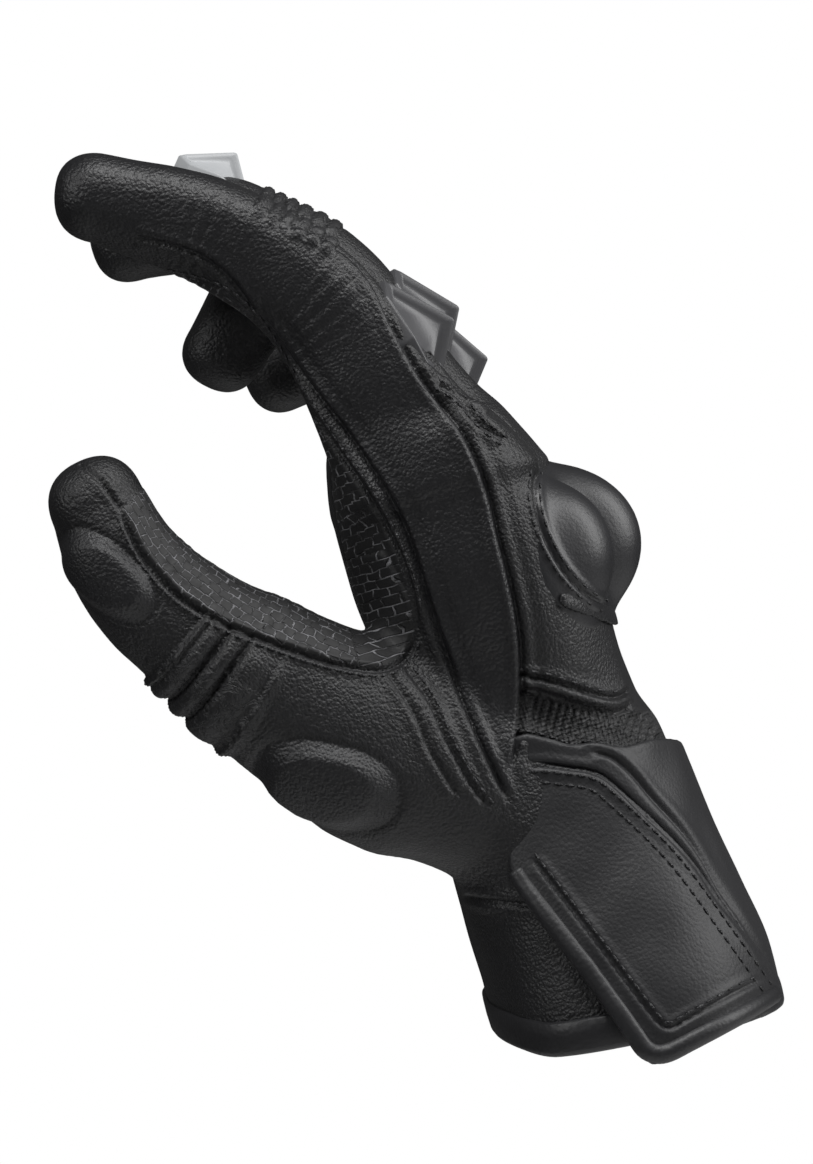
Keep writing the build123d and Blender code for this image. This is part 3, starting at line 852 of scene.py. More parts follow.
# ------------------------------------------------------------------ finishes
def linear(colour: str) -> tuple:
    """sRGB hex, such as "202022", to linear RGBA."""
    values = [int(colour[i : i + 2], 16) / 255 for i in (0, 2, 4)]
    return (*(v / 12.92 if v <= 0.04045 else ((v + 0.055) / 1.055) ** 2.4 for v in values), 1.0)


def node(tree: bpy.types.NodeTree, kind: str, inputs: dict, **settings) -> bpy.types.Node:
    """Adds one shader node.

    Args:
        tree: the material's tree.
        kind: Blender's type name of the node.
        inputs: socket name or index to a value, or to another node's output socket.
        settings: properties of the node itself.

    Returns:
        The new node.
    """
    made = tree.nodes.new(kind)
    for name, value in settings.items():
        setattr(made, name, value)
    for socket, value in inputs.items():
        if isinstance(value, bpy.types.NodeSocket):
            tree.links.new(value, made.inputs[socket])
        else:
            made.inputs[socket].default_value = value
    return made


@dataclass(frozen=True)
class Surface:
    """One real material as a procedural shader on Object coordinates.

    Args:
        name: the material's name.
        colour: its colour as sRGB hex.
        worn: the colour of its high spots, as sRGB hex.
        rough: roughness of the shader.
        pebble: width of a grain pebble, in mm; 0 for none.
        pebble_depth: strength of the grain in the bump.
        crease: spacing of the creases, in mm; 0 for none.
        crease_depth: strength of the creases in the bump.
        weave: spacing of knitted or woven ribs, in mm; 0 for none.
        sheen: strength of the fibre sheen.
        gloss: specular level.
    """

    name: str
    colour: str
    worn: str
    rough: float
    pebble: float = 0.0
    pebble_depth: float = 0.0
    crease: float = 0.0
    crease_depth: float = 0.0
    weave: float = 0.0
    sheen: float = 0.0
    gloss: float = 0.5

    def material(self) -> bpy.types.Material:
        """The finished material, made once."""
        found = bpy.data.materials.get(self.name)
        if found:
            return found
        made = bpy.data.materials.new(self.name)
        made.use_nodes = True
        tree = made.node_tree
        tree.nodes.clear()
        where = node(tree, "ShaderNodeTexCoord", {}).outputs["Object"]
        blotch = node(tree, "ShaderNodeTexNoise", {"Vector": where, "Scale": 55.0, "Detail": 3.0})
        tone = node(tree, "ShaderNodeMix", {"Factor": blotch.outputs["Fac"],
                    "A": linear(self.colour), "B": linear(self.worn)}, data_type="RGBA")
        shader = node(tree, "ShaderNodeBsdfPrincipled", {
            "Base Color": tone.outputs["Result"], "Roughness": self.rough,
            "Specular IOR Level": self.gloss, "Sheen Weight": self.sheen,
            "Sheen Roughness": 0.5})
        height = None
        if self.pebble:
            height = self.grain(tree, where, height)
        if self.crease:
            height = self.creases(tree, where, height)
        if self.weave:
            height = self.ribs(tree, where, height)
        if height is not None:
            bump = node(tree, "ShaderNodeBump", {"Height": height, "Strength": 1.0,
                        "Distance": 1.0 * MM})
            tree.links.new(bump.outputs["Normal"], shader.inputs["Normal"])
        node(tree, "ShaderNodeOutputMaterial", {"Surface": shader.outputs["BSDF"]})
        return made

    def add(self, tree: bpy.types.NodeTree, value: Socket, times: float,
            to: Socket | None) -> Socket:
        """value * times, added to an earlier height if there is one."""
        made = node(tree, "ShaderNodeMath", {0: value, 1: times, 2: to if to is not None else 0.0},
                    operation="MULTIPLY_ADD")
        return made.outputs["Value"]

    def grain(self, tree: bpy.types.NodeTree, where: Socket, height: Socket | None) -> Socket:
        """Pebbles: distance from the nearest cell's edge, bent by a little noise."""
        shift = node(tree, "ShaderNodeTexNoise", {"Vector": where, "Scale": 900.0, "Detail": 1.0})
        moved = node(tree, "ShaderNodeVectorMath", {0: shift.outputs["Color"],
                     1: (0.0006, 0.0006, 0.0006), 2: where}, operation="MULTIPLY_ADD")
        cells = node(tree, "ShaderNodeTexVoronoi", {"Vector": moved.outputs["Vector"],
                     "Scale": 1.0 / (self.pebble * MM)}, feature="SMOOTH_F1")
        cells.inputs["Smoothness"].default_value = 0.35
        up = self.add(tree, cells.outputs["Distance"], -self.pebble_depth, height)
        pores = node(tree, "ShaderNodeTexNoise", {"Vector": where, "Detail": 4.0,
                     "Scale": 2.4 / (self.pebble * MM), "Roughness": 0.6})
        return self.add(tree, pores.outputs["Fac"], self.pebble_depth * 0.5, up)

    def creases(self, tree: bpy.types.NodeTree, where: Socket, height: Socket | None) -> Socket:
        """Stretch creases: the valleys of a noise drawn out round the glove."""
        drawn = node(tree, "ShaderNodeMapping", {"Vector": where, "Scale": (1.0, 0.45, 1.5),
                     "Rotation": (0.2, 0.5, 0.0)})
        noise = node(tree, "ShaderNodeTexNoise", {"Vector": drawn.outputs["Vector"],
                     "Scale": 1.0 / (self.crease * MM), "Detail": 4.0, "Roughness": 0.55,
                     "Distortion": 0.6})
        folded = node(tree, "ShaderNodeMath", {0: noise.outputs["Fac"], 1: 0.5},
                      operation="SUBTRACT")
        size = node(tree, "ShaderNodeMath", {0: folded.outputs["Value"]}, operation="ABSOLUTE")
        valley = node(tree, "ShaderNodeMath", {0: size.outputs["Value"], 1: 0.07},
                      operation="MINIMUM")
        return self.add(tree, valley.outputs["Value"], self.crease_depth * 14.0, height)

    def ribs(self, tree: bpy.types.NodeTree, where: Socket, height: Socket | None) -> Socket:
        """Knit or weave: two crossed waves."""
        for profile in ("X", "Z"):
            wave = node(tree, "ShaderNodeTexWave", {"Vector": where, "Distortion": 1.5,
                        "Scale": 0.314 / (self.weave * MM) / 2.0, "Detail Scale": 2.0},
                        bands_direction=profile)
            height = self.add(tree, wave.outputs["Fac"], self.weave * 0.35, height)
        return height


@dataclass(frozen=True)
class TilePrint(Surface):
    """Grip leather: raised tiles, with worn silvery thread in the gaps between them."""

    tile: tuple = (2.9, 2.7)  # mm between the tiles, along and across the piece's map

    def material(self) -> bpy.types.Material:
        """The leather with its tiles in the bump and the thread in the colour."""
        made = bpy.data.materials.get(self.name)
        if made:
            return made
        made = super().material()
        tree = made.node_tree
        shader = next(n for n in tree.nodes if n.type == "BSDF_PRINCIPLED")
        where = node(tree, "ShaderNodeUVMap", {}, uv_map="tiles").outputs["UV"]
        bend = node(tree, "ShaderNodeTexNoise", {"Vector": where, "Scale": 0.9, "Detail": 1.0})
        moved = node(tree, "ShaderNodeVectorMath", {0: bend.outputs["Color"], 1: (0.5, 0.5, 0.0),
                     2: where}, operation="MULTIPLY_ADD")
        bricks = node(tree, "ShaderNodeTexBrick", {
            "Vector": moved.outputs["Vector"], "Scale": 1.0, "Mortar Size": 0.085,
            "Mortar Smooth": 0.6, "Brick Width": 1.0, "Row Height": 0.8,
            "Color1": (1, 1, 1, 1), "Color2": (1, 1, 1, 1), "Mortar": (0, 0, 0, 1)})
        wear = node(tree, "ShaderNodeTexNoise", {"Vector": where, "Scale": 1.1, "Detail": 4.0,
                    "Roughness": 0.7})
        gap = node(tree, "ShaderNodeMapRange", {"Value": wear.outputs["Fac"], "From Min": 0.42,
                   "From Max": 0.6})
        thin = node(tree, "ShaderNodeMapRange", {"Value": bricks.outputs["Fac"],
                    "From Min": 0.6, "From Max": 1.0})
        share = node(tree, "ShaderNodeMath", {0: gap.outputs["Result"], 1: thin.outputs["Result"]},
                     operation="MULTIPLY")
        old = shader.inputs["Base Color"].links[0].from_socket
        mixed = node(tree, "ShaderNodeMix", {"Factor": share.outputs["Value"], "A": old,
                     "B": linear("77777A")}, data_type="RGBA")
        tree.links.new(mixed.outputs["Result"], shader.inputs["Base Color"])
        bump = next(n for n in tree.nodes if n.type == "BUMP")
        below = bump.inputs["Height"].links[0].from_socket
        raised = self.add(tree, bricks.outputs["Fac"], -1.1, below)
        tree.links.new(raised, bump.inputs["Height"])
        return made


# Full-grain cowhide: near black, a fine pebble grain and soft creases that catch the light.
HIDE = Surface("full_grain_cowhide", "141415", "1C1C1E", 0.46, pebble=0.75, pebble_depth=0.22,
               crease=9.0, crease_depth=0.03, gloss=0.5)
# Smoother side leather: the same hide with a flatter grain and more sheen.
PANEL = Surface("smooth_cowhide", "151517", "1D1D1F", 0.43, pebble=0.8, pebble_depth=0.18,
                crease=12.0, crease_depth=0.025, gloss=0.5)
# Leather stretched over foam: the grain is pulled nearly flat.
PAD = Surface("padded_cowhide", "161618", "1D1D1F", 0.45, pebble=0.75, pebble_depth=0.2)
# Split leather of the flap, smooth and slightly dusty.
FLAP = Surface("smooth_flap_leather", "19191B", "222224", 0.52, pebble=0.8, pebble_depth=0.07)
# Suede printed with rubbery tiles: dull, with pale worn thread in the gaps.
GRIP = TilePrint("tile_print_grip_leather", "121213", "1A1A1B", 0.6, pebble=0.8,
                 pebble_depth=0.05)
# Thin leather gathered over elastic: tight small creases.
STRETCH = Surface("ribbed_stretch_leather", "19191A", "232325", 0.5, pebble=0.9,
                  pebble_depth=0.1, crease=4.0, crease_depth=0.2)
# Woven rubber elastic: fine crossed ribs, drawn as coarse as 0.5 mm so that they show.
ELASTIC = Surface("gathered_elastic", "1A1A1B", "2A2A2B", 0.6, weave=0.5, crease=3.0,
                  crease_depth=0.25)
# Brushed polyester knit: matt loops with a little fibre sheen.
KNIT = Surface("knitted_liner", "111112", "19191B", 0.9, weave=0.9, sheen=0.25, gloss=0.2)
# Skived leather strip folded over an edge: the grain is pulled long and slightly polished.
BINDING = Surface("rolled_leather_binding", "1A1A1C", "262628", 0.46, pebble=1.1,
                  pebble_depth=0.06)
# Nylon hook-and-loop tape: black and quite without shine.
HOOK = Surface("hook_and_loop", "0C0C0D", "151516", 0.95, weave=0.7, gloss=0.1)
# Bonded nylon sewing thread: waxed, so that each stitch takes a small highlight.
THREAD = Surface("waxed_thread", "1E1E20", "303032", 0.5, weave=0.35, gloss=0.5)
# Thin leather pressed over a moulded shell: the smoothest, brightest leather on the glove.
GUARD = Surface("guard_leather", "1E1E20", "29292B", 0.40, pebble=0.8, pebble_depth=0.035)
# Injection-moulded polyurethane, satin from a fine spark-eroded mould.
TPU = Surface("satin_grey_polyurethane", "434345", "4C4C4E", 0.38, pebble=0.5,
              pebble_depth=0.015)
# The same in pale grey, a little duller.
PALE_TPU = Surface("satin_pale_polyurethane", "9C9EA0", "A8AAAC", 0.45, pebble=0.5,
                   pebble_depth=0.015)
# White background paper: matt and nearly shadowless.
FLOOR = Surface("white_paper_sweep", "F4F4F4", "F4F4F4", 0.9, gloss=0.1)
FINISHES = {Finish.HIDE: HIDE, Finish.PANEL: PANEL, Finish.PAD: PAD, Finish.GRIP: GRIP,
            Finish.RIBS: STRETCH, Finish.ELASTIC: ELASTIC}


def put_mesh(name: str, points: Array, faces: Array, surface: Surface,
             normals: Array = None, tiles: Array = None) -> bpy.types.Object:
    """A mesh object in the glove's frame.

    Args:
        name: the piece's name.
        points: (n, 3) points in mm.
        faces: (m, k) corners, or a list of faces of several lengths.
        surface: its finish.
        normals: normals at the points, where the piece joins another smoothly.
        tiles: (n, 2) map coordinates for a tile print.

    Returns:
        The finished object, at the origin.
    """
    mesh = bpy.data.meshes.new(name)
    faces = faces.tolist() if isinstance(faces, np.ndarray) else faces
    mesh.from_pydata((points * MM).tolist(), [], faces)
    mesh.polygons.foreach_set("use_smooth", np.ones(len(mesh.polygons), bool))
    if tiles is not None:
        layer = mesh.uv_layers.new(name="tiles")
        corner = np.empty(len(mesh.loops), np.int32)
        mesh.loops.foreach_get("vertex_index", corner)
        layer.data.foreach_set("uv", tiles[corner].astype(np.float32).ravel())
    if normals is not None:
        mesh.normals_split_custom_set_from_vertices(normals.tolist())
    mesh.materials.append(surface.material())
    mesh.update()
    piece = bpy.data.objects.new(name, mesh)
    bpy.context.collection.objects.link(piece)
    LOG.info("%s: %d points", name, len(points))
    return piece


def carry(path: Array, profile: Array, outward: Array, closed: bool) -> tuple[Array, Array]:
    """A closed profile carried along a path.

    Point (i, j) is path[i] + u_j * outward_i + v_j * side_i, where side is the cross product
    of the path's run and outward, so the profile stays upright on the leather.

    Args:
        path: (n, 3) points.
        profile: (m, 2) points (u outwards, v sideways) going round once.
        outward: (n, 3) outward directions.
        closed: whether the path runs back into its start.

    Returns:
        The points and the faces that join neighbouring profiles.
    """
    run = unit(np.roll(path, -1, 0) - np.roll(path, 1, 0) if closed else np.gradient(path, axis=0))
    side = unit(np.cross(run, outward))
    out = np.cross(side, run)
    n, m = len(path), len(profile)
    points = (path[:, None] + profile[None, :, :1] * out[:, None]
              + profile[None, :, 1:] * side[:, None]).reshape(-1, 3)
    i, j = np.meshgrid(np.arange(n if closed else n - 1), np.arange(m), indexing="ij")
    a, b = i * m + j, i * m + (j + 1) % m
    c, d = ((i + 1) % n) * m + (j + 1) % m, ((i + 1) % n) * m + j
    faces = np.stack([a, d, c, b], axis=-1).reshape(-1, 4)
    if not closed:
        ends = [list(range(m)), list(range((n - 1) * m, n * m))[::-1]]
        return points, faces.tolist() + ends
    return points, faces


def oval(half_u: float, half_v: float, count: int = 16) -> Array:
    """Points round an ellipse, anticlockwise."""
    a = np.linspace(0, 2 * np.pi, count, endpoint=False)
    return np.stack([half_u * np.cos(a), half_v * np.sin(a)], axis=1)


# ------------------------------------------------------------------ the skin's pieces
SIDE_PANEL = ((-12.7, 57.9), (-15.6, 75.4), (-18.1, 100.5), (-19.4, 130.2), (-25.5, 151.5),
              (-32.6, 169.5), (-38.5, 187.1), (-43.5, 198.0), (-50.0, 205.0), (-61.0, 211.5),
              (-72.0, 213.0), (-90.0, 214.0), (-88.0, 232.0), (-50.0, 236.0), (-27.5, 205.5),
              (-20.0, 200.5), (-13.5, 193.0), (-9.6, 184.0), (-8.0, 173.5), (-5.0, 160.6),
              (0.6, 146.0), (2.4, 132.0), (1.9, 119.2), (0.6, 98.4), (-3.9, 80.6), (-10.9, 64.5))
GATHER = ((-3.6, 83.6), (3.0, 80.4), (9.4, 76.2), (16.4, 72.6), (30.0, 70.0), (52.0, 68.0),
          (52.0, 58.0), (20.0, 60.0), (14.4, 63.2), (9.6, 66.8), (4.6, 67.6), (-1.0, 71.4),
          (-7.4, 74.8))


@dataclass(frozen=True)
class Ribs:
    """The stretch ribs over the back of a digit.

    Args:
        low: station where they begin.
        end: station where they end.
        count: how many there are.
        height: how high they stand, in mm.
    """

    low: float
    end: float
    count: int
    height: float


FINGER_RIBS = Ribs(1.16, 1.74, 6, 1.2)
THUMB_RIBS = Ribs(0.88, 1.42, 3, 2.4)


@dataclass
class Hide:
    """The displaced skin of one part of the glove, before it is cut into pieces."""

    name: str
    skin: Skin
    normal: Array
    zones: list
    zone_of: Array  # the zone's number for each face
    finish_of: Array  # the finish's number for each face
    tiles: Array
    tree: BVHTree = None


@dataclass
class Glove:
    """Cuts the leather into pieces, dresses them and adds everything sewn on."""

    leather: Leather

    def undulation(self, points: Array) -> Array:
        """Slight unevenness of soft leather: a sum of 14 sine waves, 11 to 26 mm long."""
        draw = np.random.default_rng(7)
        total = np.zeros(len(points))
        for _ in range(14):
            wave = unit(draw.normal(size=3)) * 2 * np.pi / draw.uniform(11, 26)
            total += np.sin(points @ wave + draw.uniform(0, 6.28)) * draw.uniform(0.02, 0.06)
        return total

    def folds(self, tube: Tube, points: Array) -> Array:
        """Ribs over the back of a digit and soft creases inside its bends.

        The ribs are rectified sines, |sin(pi t)|^0.7 along the line, so that they meet in
        sharp valleys. The creases are sines whose height dies away from the joint.
        """
        station, high, across, _, nearest = tube.locate(points)
        high = -high if tube.name == "thumb" else high
        near = np.hypot(high, across) < 30.0
        run = nearest * 0.5
        lean = high / np.maximum(np.hypot(high, across), 1e-6)
        back = smooth_step(lean, 0.35, 0.7)
        ribs = FINGER_RIBS
        if tube.name == "thumb":
            back = smooth_step(lean, -0.5, 0.1)
            ribs = THUMB_RIBS
        share = (station - ribs.low) / (ribs.end - ribs.low)
        inside = smooth_step(share, -0.04, 0.04) * (1 - smooth_step(share, 0.96, 1.04))
        rib = np.abs(np.sin(np.pi * np.clip(share, 0, 1) * ribs.count)) ** 0.7
        total = inside * back * ribs.height * (rib - 0.25)
        if tube.name == "thumb":
            rough_edge = 1.0 + 0.35 * np.sin(across * 1.9) * np.sin(across * 0.83 + 1.0)
            for edge in (-0.02, 1.02):
                total += 1.5 * rough_edge * back * np.exp(-(((share - edge) / 0.045) ** 2))
        for centre in (1.0, 2.0):
            dying = np.exp(-(((station - centre) / 0.2) ** 2))
            total += (1 - back) * dying * 0.1 * np.sin(run * 2 * np.pi / 3.6 + across * 0.25)
        return np.where(near, total, 0.0)

    def relief(self, name: str, points: Array, normals: Array) -> Array:
        """Height of everything sewn, padded or gathered at each point of a skin.

        The gathered strip is a row of sine pleats 1.9 mm apart, sunk 1.3 mm.

        Args:
            name: the skin's name.
            points: its points, in mm.
            normals: its normals there.

        Returns:
            One height in mm for each point.
        """
        at, seen = flat(points), facing(points, normals)
        near_side = seen * (points[:, 1] < 8.0)
        height = self.undulation(points)
        for seam in SEAMS:
            if name in seam.skins:
                height += seam.relief(at) * near_side
        if name == "hand":
            height += (TIP_PAD.relief(at) + THENAR_PAD.relief(at)) * near_side
            height += self.folds(self.leather.digits["thumb"], points)
            inside = 1 - smooth_step(within(at, GATHER), -1.0, 0.4)
            pleat = np.sin((at[:, 0] * 0.87 - at[:, 1] * 0.5) * 2 * np.pi / 1.9)
            back = smooth_step(points[:, 0], -8.0, 0.0)
            height += inside * back * (0.4 * pleat - 1.3) * near_side
            height += 0.5 * (1 - smooth_step(within(at, WEB_GRIP), -0.4, 0.6)) * near_side
        else:
            height += self.folds(self.leather.digits[name], points)
        return height

    def finished(self, name: str, rough: Skin) -> Hide:
        """Refines a skin, raises its relief and gives every face a zone and a finish."""
        skin = rough.refine()
        normal = skin.normals()
        skin.points = skin.points + normal * self.relief(name, skin.points, normal)[:, None]
        normal = skin.normals()
        middle = skin.points[skin.quads].mean(axis=1)
        up = unit(normal[skin.quads].mean(axis=1))
        keep, zones, zone_of = self.zones(name, middle)
        finish_of = self.finish_of(name, middle, up)
        tiles = self.tile_map(name, skin.points)
        skin.quads, zone_of, finish_of = skin.quads[keep], zone_of[keep], finish_of[keep]
        return Hide(name, skin, normal, zones, zone_of, finish_of, tiles)

    def zones(self, name: str, middle: Array) -> tuple[Array, list, Array]:
        """Sorts a skin's faces into zones.

        Args:
            name: the skin's name.
            middle: each face's middle, in mm.

        Returns:
            Which faces stay, the skin's zones and the number of each face's zone.
        """
        if name == "hand":
            thumb = digit_zones(self.leather.digits["thumb"], "hand")
            station = self.leather.digits["thumb"].locate(middle)[0]
            lean = middle @ WRIST_NORMAL
            wrist = Zone("wrist", "cuff", "hand", *WRIST_BEND)
            joints = self.leather.digits["thumb"].joints
            past = (middle - joints[1]) @ unit(unit(joints[1] - joints[0])
                                               + unit(joints[2] - joints[1]))
            number = np.where(lean < WRIST_CUT, 0, 1)
            number = np.where((middle[:, 0] < -36.0) & (middle[:, 2] > 50.0), 2, number)
            number = np.where((number == 2) & (past > -4.5), 3, number)
            number = np.where((number == 3) & (station > 1.55), 4, number)
            keep = (middle[:, 2] < self.leather.root_z) | (middle[:, 0] < -44.0)
            keep &= middle[:, 2] > hem_height(middle[:, 0]) + 0.4
            return keep, [wrist, Zone("hand", "hand"), *thumb], number
        tube = self.leather.digits[name]
        station = tube.locate(middle)[0]
        number = np.digitize(station, [0.5, 1.55])
        return middle[:, 2] > self.leather.root_z, digit_zones(tube, "hand"), number

    def finish_of(self, name: str, middle: Array, up: Array) -> Array:
        """Each face's finish.

        Args:
            name: the skin's name.
            middle: each face's middle, in mm.
            up: each face's normal.

        Returns:
            Numbers in the order of Finish.
        """
        order = list(Finish)
        at = flat(middle)
        seen = (np.einsum("ij,ij->i", up, unit(SIDE - middle)) > 0.0) & (middle[:, 1] < 0.0)
        number = np.zeros(len(middle), int)
        if name in ("hand", "index"):
            number[seen & (within(at, SIDE_PANEL) < 0)] = order.index(Finish.PANEL)
            palm = (up[:, 0] < 0.5) & (within(at, PALM_GRIP) < 0)
            palm &= (middle[:, 1] < 30.0) & (middle[:, 0] > -95.0)
            palm &= seen | (name == "index") | (up[:, 0] < -0.3)
            number[palm] = order.index(Finish.GRIP)
        if name == "hand":
            number[seen & (within(at, WEB_GRIP) < 0)] = order.index(Finish.GRIP)
            number[seen & (THENAR_PAD.radius(at) < 1.04)] = order.index(Finish.PAD)
            number[seen & (TIP_PAD.radius(at) < 1.04)] = order.index(Finish.PAD)
            gather = seen & (within(at, GATHER) < 0) & (middle[:, 0] > -9.0)
            number[gather] = order.index(Finish.ELASTIC)
        tube = self.leather.digits["thumb" if name == "hand" else name]
        station, high, across, _, _ = tube.locate(middle)
        high = -high if name == "hand" else high
        size = np.hypot(high, across)
        kind = THUMB_RIBS if name == "hand" else FINGER_RIBS
        ribs = (station > kind.low) & (station < kind.end) & (high > 0.3 * size) & (size < 26.0)
        if name == "hand":
            ribs &= (middle[:, 0] < -45.0) & (number != order.index(Finish.GRIP))
        number[ribs & (number != order.index(Finish.PANEL))] = order.index(Finish.RIBS)
        return number

    def tile_map(self, name: str, points: Array) -> Array:
        """Map coordinates, in tiles, that follow the digit's line and its girth."""
        length, girth = GRIP.tile
        if name != "hand":
            tube = self.leather.digits[name]
            _, high, across, _, nearest = tube.locate(points)
            return np.stack([np.arctan2(across, -high) * 13.0 / (length * 1.3),
                             nearest * 0.5 / girth], axis=1)
        tube = self.leather.digits["thumb"]
        _, high, across, _, nearest = tube.locate(points)
        thumb = np.stack([nearest * 0.5 / length, np.arctan2(across, high) * 16.0 / girth], axis=1)
        palm = np.stack([points[:, 1] / (length * 1.6), points[:, 2] / girth], axis=1)
        return np.where((points[:, 0] > -37.0)[:, None], palm, thumb)

    def cut(self, hide: Hide) -> None:
        """Makes one object of every zone and finish of a skin."""
        order = list(Finish)
        for z, zone in enumerate(hide.zones):
            counts = np.bincount(hide.finish_of[hide.zone_of == z], minlength=len(order))
            few = np.isin(hide.finish_of, np.flatnonzero(counts < 60))
            hide.finish_of[(hide.zone_of == z) & few] = 0
            for f in np.unique(hide.finish_of[hide.zone_of == z]):
                faces = np.flatnonzero((hide.zone_of == z) & (hide.finish_of == f))
                part, used = hide.skin.keep(faces)
                finish = order[f]
                piece = put_mesh(f"{zone.name}_{finish.name.lower()}", part.points, part.quads,
                                 FINISHES[finish], hide.normal[used],
                                 hide.tiles[used] if finish is Finish.GRIP else None)
                zone.bind(piece)
                self.replace_nodes(zone, finish)

    def replace_nodes(self, zone: Zone, finish: Finish) -> None:
        """Says which CAD nodes a piece of the skin stands for."""
        stands = {
            ("wrist", Finish.HIDE): ("cuff_palm_panel", "cuff_back_panel"),
            ("wrist", Finish.ELASTIC): ("wrist_elastic",),
            ("hand", Finish.HIDE): ("palm_panel", "back_panel"),
            ("hand", Finish.PANEL): ("side_panel",),
            ("hand", Finish.GRIP): ("palm_grip_patch",),
            ("thumb_root", Finish.HIDE): ("thumb_base_sleeve",),
            ("thumb_root", Finish.GRIP): ("thumb_grip_patch",),
            ("thumb_root", Finish.PAD): ("thumb_pad",),
            ("thumb_middle", Finish.RIBS): ("thumb_stretch_panel",),
            ("thumb_middle", Finish.HIDE): ("thumb_mid_sleeve", "thumb_mid_lining"),
            ("thumb_end", Finish.HIDE): ("thumb_tip_sleeve", "thumb_tip_lining"),
            ("thumb_end", Finish.PAD): ("thumb_tip_pad",),
        }
        for name in FINGERS:
            stands[f"{name}_root", Finish.HIDE] = (f"{name}_base_sleeve", f"{name}_base_lining")
            stands[f"{name}_middle", Finish.HIDE] = (f"{name}_mid_sleeve", f"{name}_mid_lining")
            stands[f"{name}_end", Finish.HIDE] = (f"{name}_tip_sleeve", f"{name}_tip_lining")
            stands[f"{name}_middle", Finish.RIBS] = (f"{name}_stretch_panel",)
        if (zone.name, finish) in stands:
            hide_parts(*stands[zone.name, finish])

    def stitch(self, seams: tuple, hides: list) -> None:
        """Sews every row of stitches and ties each stitch to the zone it lies on.

        Rays run from SIDE through points every 2.7 mm along the row; the first leather hit
        seats the stitch, which lies along the row and stands up by the leather's normal.

        Args:
            seams: the seams to sew.
            hides: the skins that they may lie on.
        """
        found: dict = {}
        for seam in seams:
            curve = seam.curve()
            tangent = unit(np.gradient(curve, axis=0))
            left = np.stack([-tangent[:, 1], tangent[:, 0]], axis=1)
            chosen = [h for h in hides if h.name in seam.skins]
            for offset in seam.rows:
                row = spline((curve + left * offset)[:: max(len(curve) // 24, 1)], 400)
                length = np.linalg.norm(np.diff(row, axis=0), axis=1).sum()
                for k in np.linspace(6, 393, max(int(length / 2.7), 2)).astype(int):
                    hit = self.land(row[k], chosen)
                    ahead = self.land(row[min(k + 3, 399)], chosen)
                    if hit and ahead and (hit[0] - ahead[0]).length < 4.0:
                        found.setdefault(hit[2], []).append((hit[0], hit[1], ahead[0] - hit[0]))
        for (zone, slot), places in found.items():
            self.sew(zone, slot, places)

    def land(self, at: Array, hides: list) -> tuple | None:
        """Where the ray from SIDE through a flat point meets leather first.

        Args:
            at: the flat point, in mm.
            hides: the skins that the ray may meet.

        Returns:
            The place, its normal, its zone with the skin's name and the distance, or None.
        """
        start = Vector(SIDE)
        way = (Vector((at[0], 0.0, at[1])) - start).normalized()
        best = None
        for hide in hides:
            place, normal, face, far = hide.tree.ray_cast(start, way, 1100.0)
            if place is not None and (best is None or far < best[3]) and normal.dot(way) < -0.15:
                zone = hide.zones[hide.zone_of[face]]
                best = (place, normal, (zone, hide.name), far)
        return best

    def sew(self, zone: Zone, where: str, places: list) -> None:
        """One object of all the stitches of a zone: stretched beads of 6 by 5 points.

        A bead is a circle of 0.3 mm whose radius shrinks as sqrt(1 - t^2) to its two ends.

        Args:
            zone: the zone that they move with.
            where: the skin's name.
            places: a place, a normal and a run for each stitch.
        """
        around = np.linspace(0, 2 * np.pi, 6, endpoint=False)
        along = np.linspace(-1, 1, 5)
        girth = np.sqrt(1 - (along * 0.97) ** 2)
        ring = np.stack([np.repeat(along, 6) * 1.05,
                         np.outer(girth, np.cos(around)).ravel() * 0.34,
                         np.outer(girth, np.sin(around)).ravel() * 0.30], axis=1)
        i, j = np.meshgrid(np.arange(4), np.arange(6), indexing="ij")
        body = np.stack([i * 6 + j, i * 6 + (j + 1) % 6, i * 6 + 6 + (j + 1) % 6,
                         i * 6 + 6 + j], axis=-1).reshape(-1, 4)
        points, faces = [], []
        for number, (place, normal, run) in enumerate(places):
            up = np.array(normal)
            way = unit(np.array(run) - up * (np.array(run) @ up))
            frame = np.stack([way, np.cross(up, way), up])
            points.append(ring @ frame + np.array(place) + up * 0.12)
            faces += (body + number * 30).tolist()
            faces += [[number * 30 + k for k in range(5, -1, -1)],
                      [number * 30 + 24 + k for k in range(6)]]
        piece = put_mesh(f"{zone.name}_stitches_{where}", np.vstack(points), faces, THREAD)
        zone.bind(piece)


def hem_height(x: Array) -> Array:
    """Height of the cuff's slanted hem at x, in mm."""
    return 5.0 - 0.09 * x + 4.0 * smooth_step(-x, 18.0, 33.0)


# ------------------------------------------------------------------ sewn-on layers
@dataclass(frozen=True)
class Layer:
    """A flat part that lies on the cuff or hand: the leather's field between two offsets.

    Args:
        name: the piece's name.
        inner: its inner face's distance from the leather, in mm.
        outer: its outer face's distance from the leather, in mm.
        outline: its outline on the side view, in mm.
        low: lowest corner of the box it lies in, in mm.
        high: highest corner of that box, in mm.
        soft: rounding of its edges, in mm.
    """

    name: str
    inner: float
    outer: float
    outline: tuple
    low: tuple
    high: tuple
    soft: float = 1.2

    def skin(self, palm: Palm) -> Skin:
        """The closed layer: offsets, outline and box intersected with rounded edges."""
        outline = rounded_outline(self.outline)

        def distance(points: Array) -> Array:
            """Positive outside the layer, in mm."""
            off = palm.distance(points)
            wall = np.maximum(off - self.outer, self.inner - off)
            box = np.maximum(points - np.array(self.high), np.array(self.low) - points).max(1)
            edge = np.full(len(points), 5.0)
            near = wall < 3.0
            edge[near] = within(flat(points[near]), outline)
            return smooth_max(smooth_max(wall, edge, self.soft), box, self.soft)

        low, high = np.array(self.low) - 1.5, np.array(self.high) + 1.5
        return Skin.from_field(low, high, distance, 0.75)


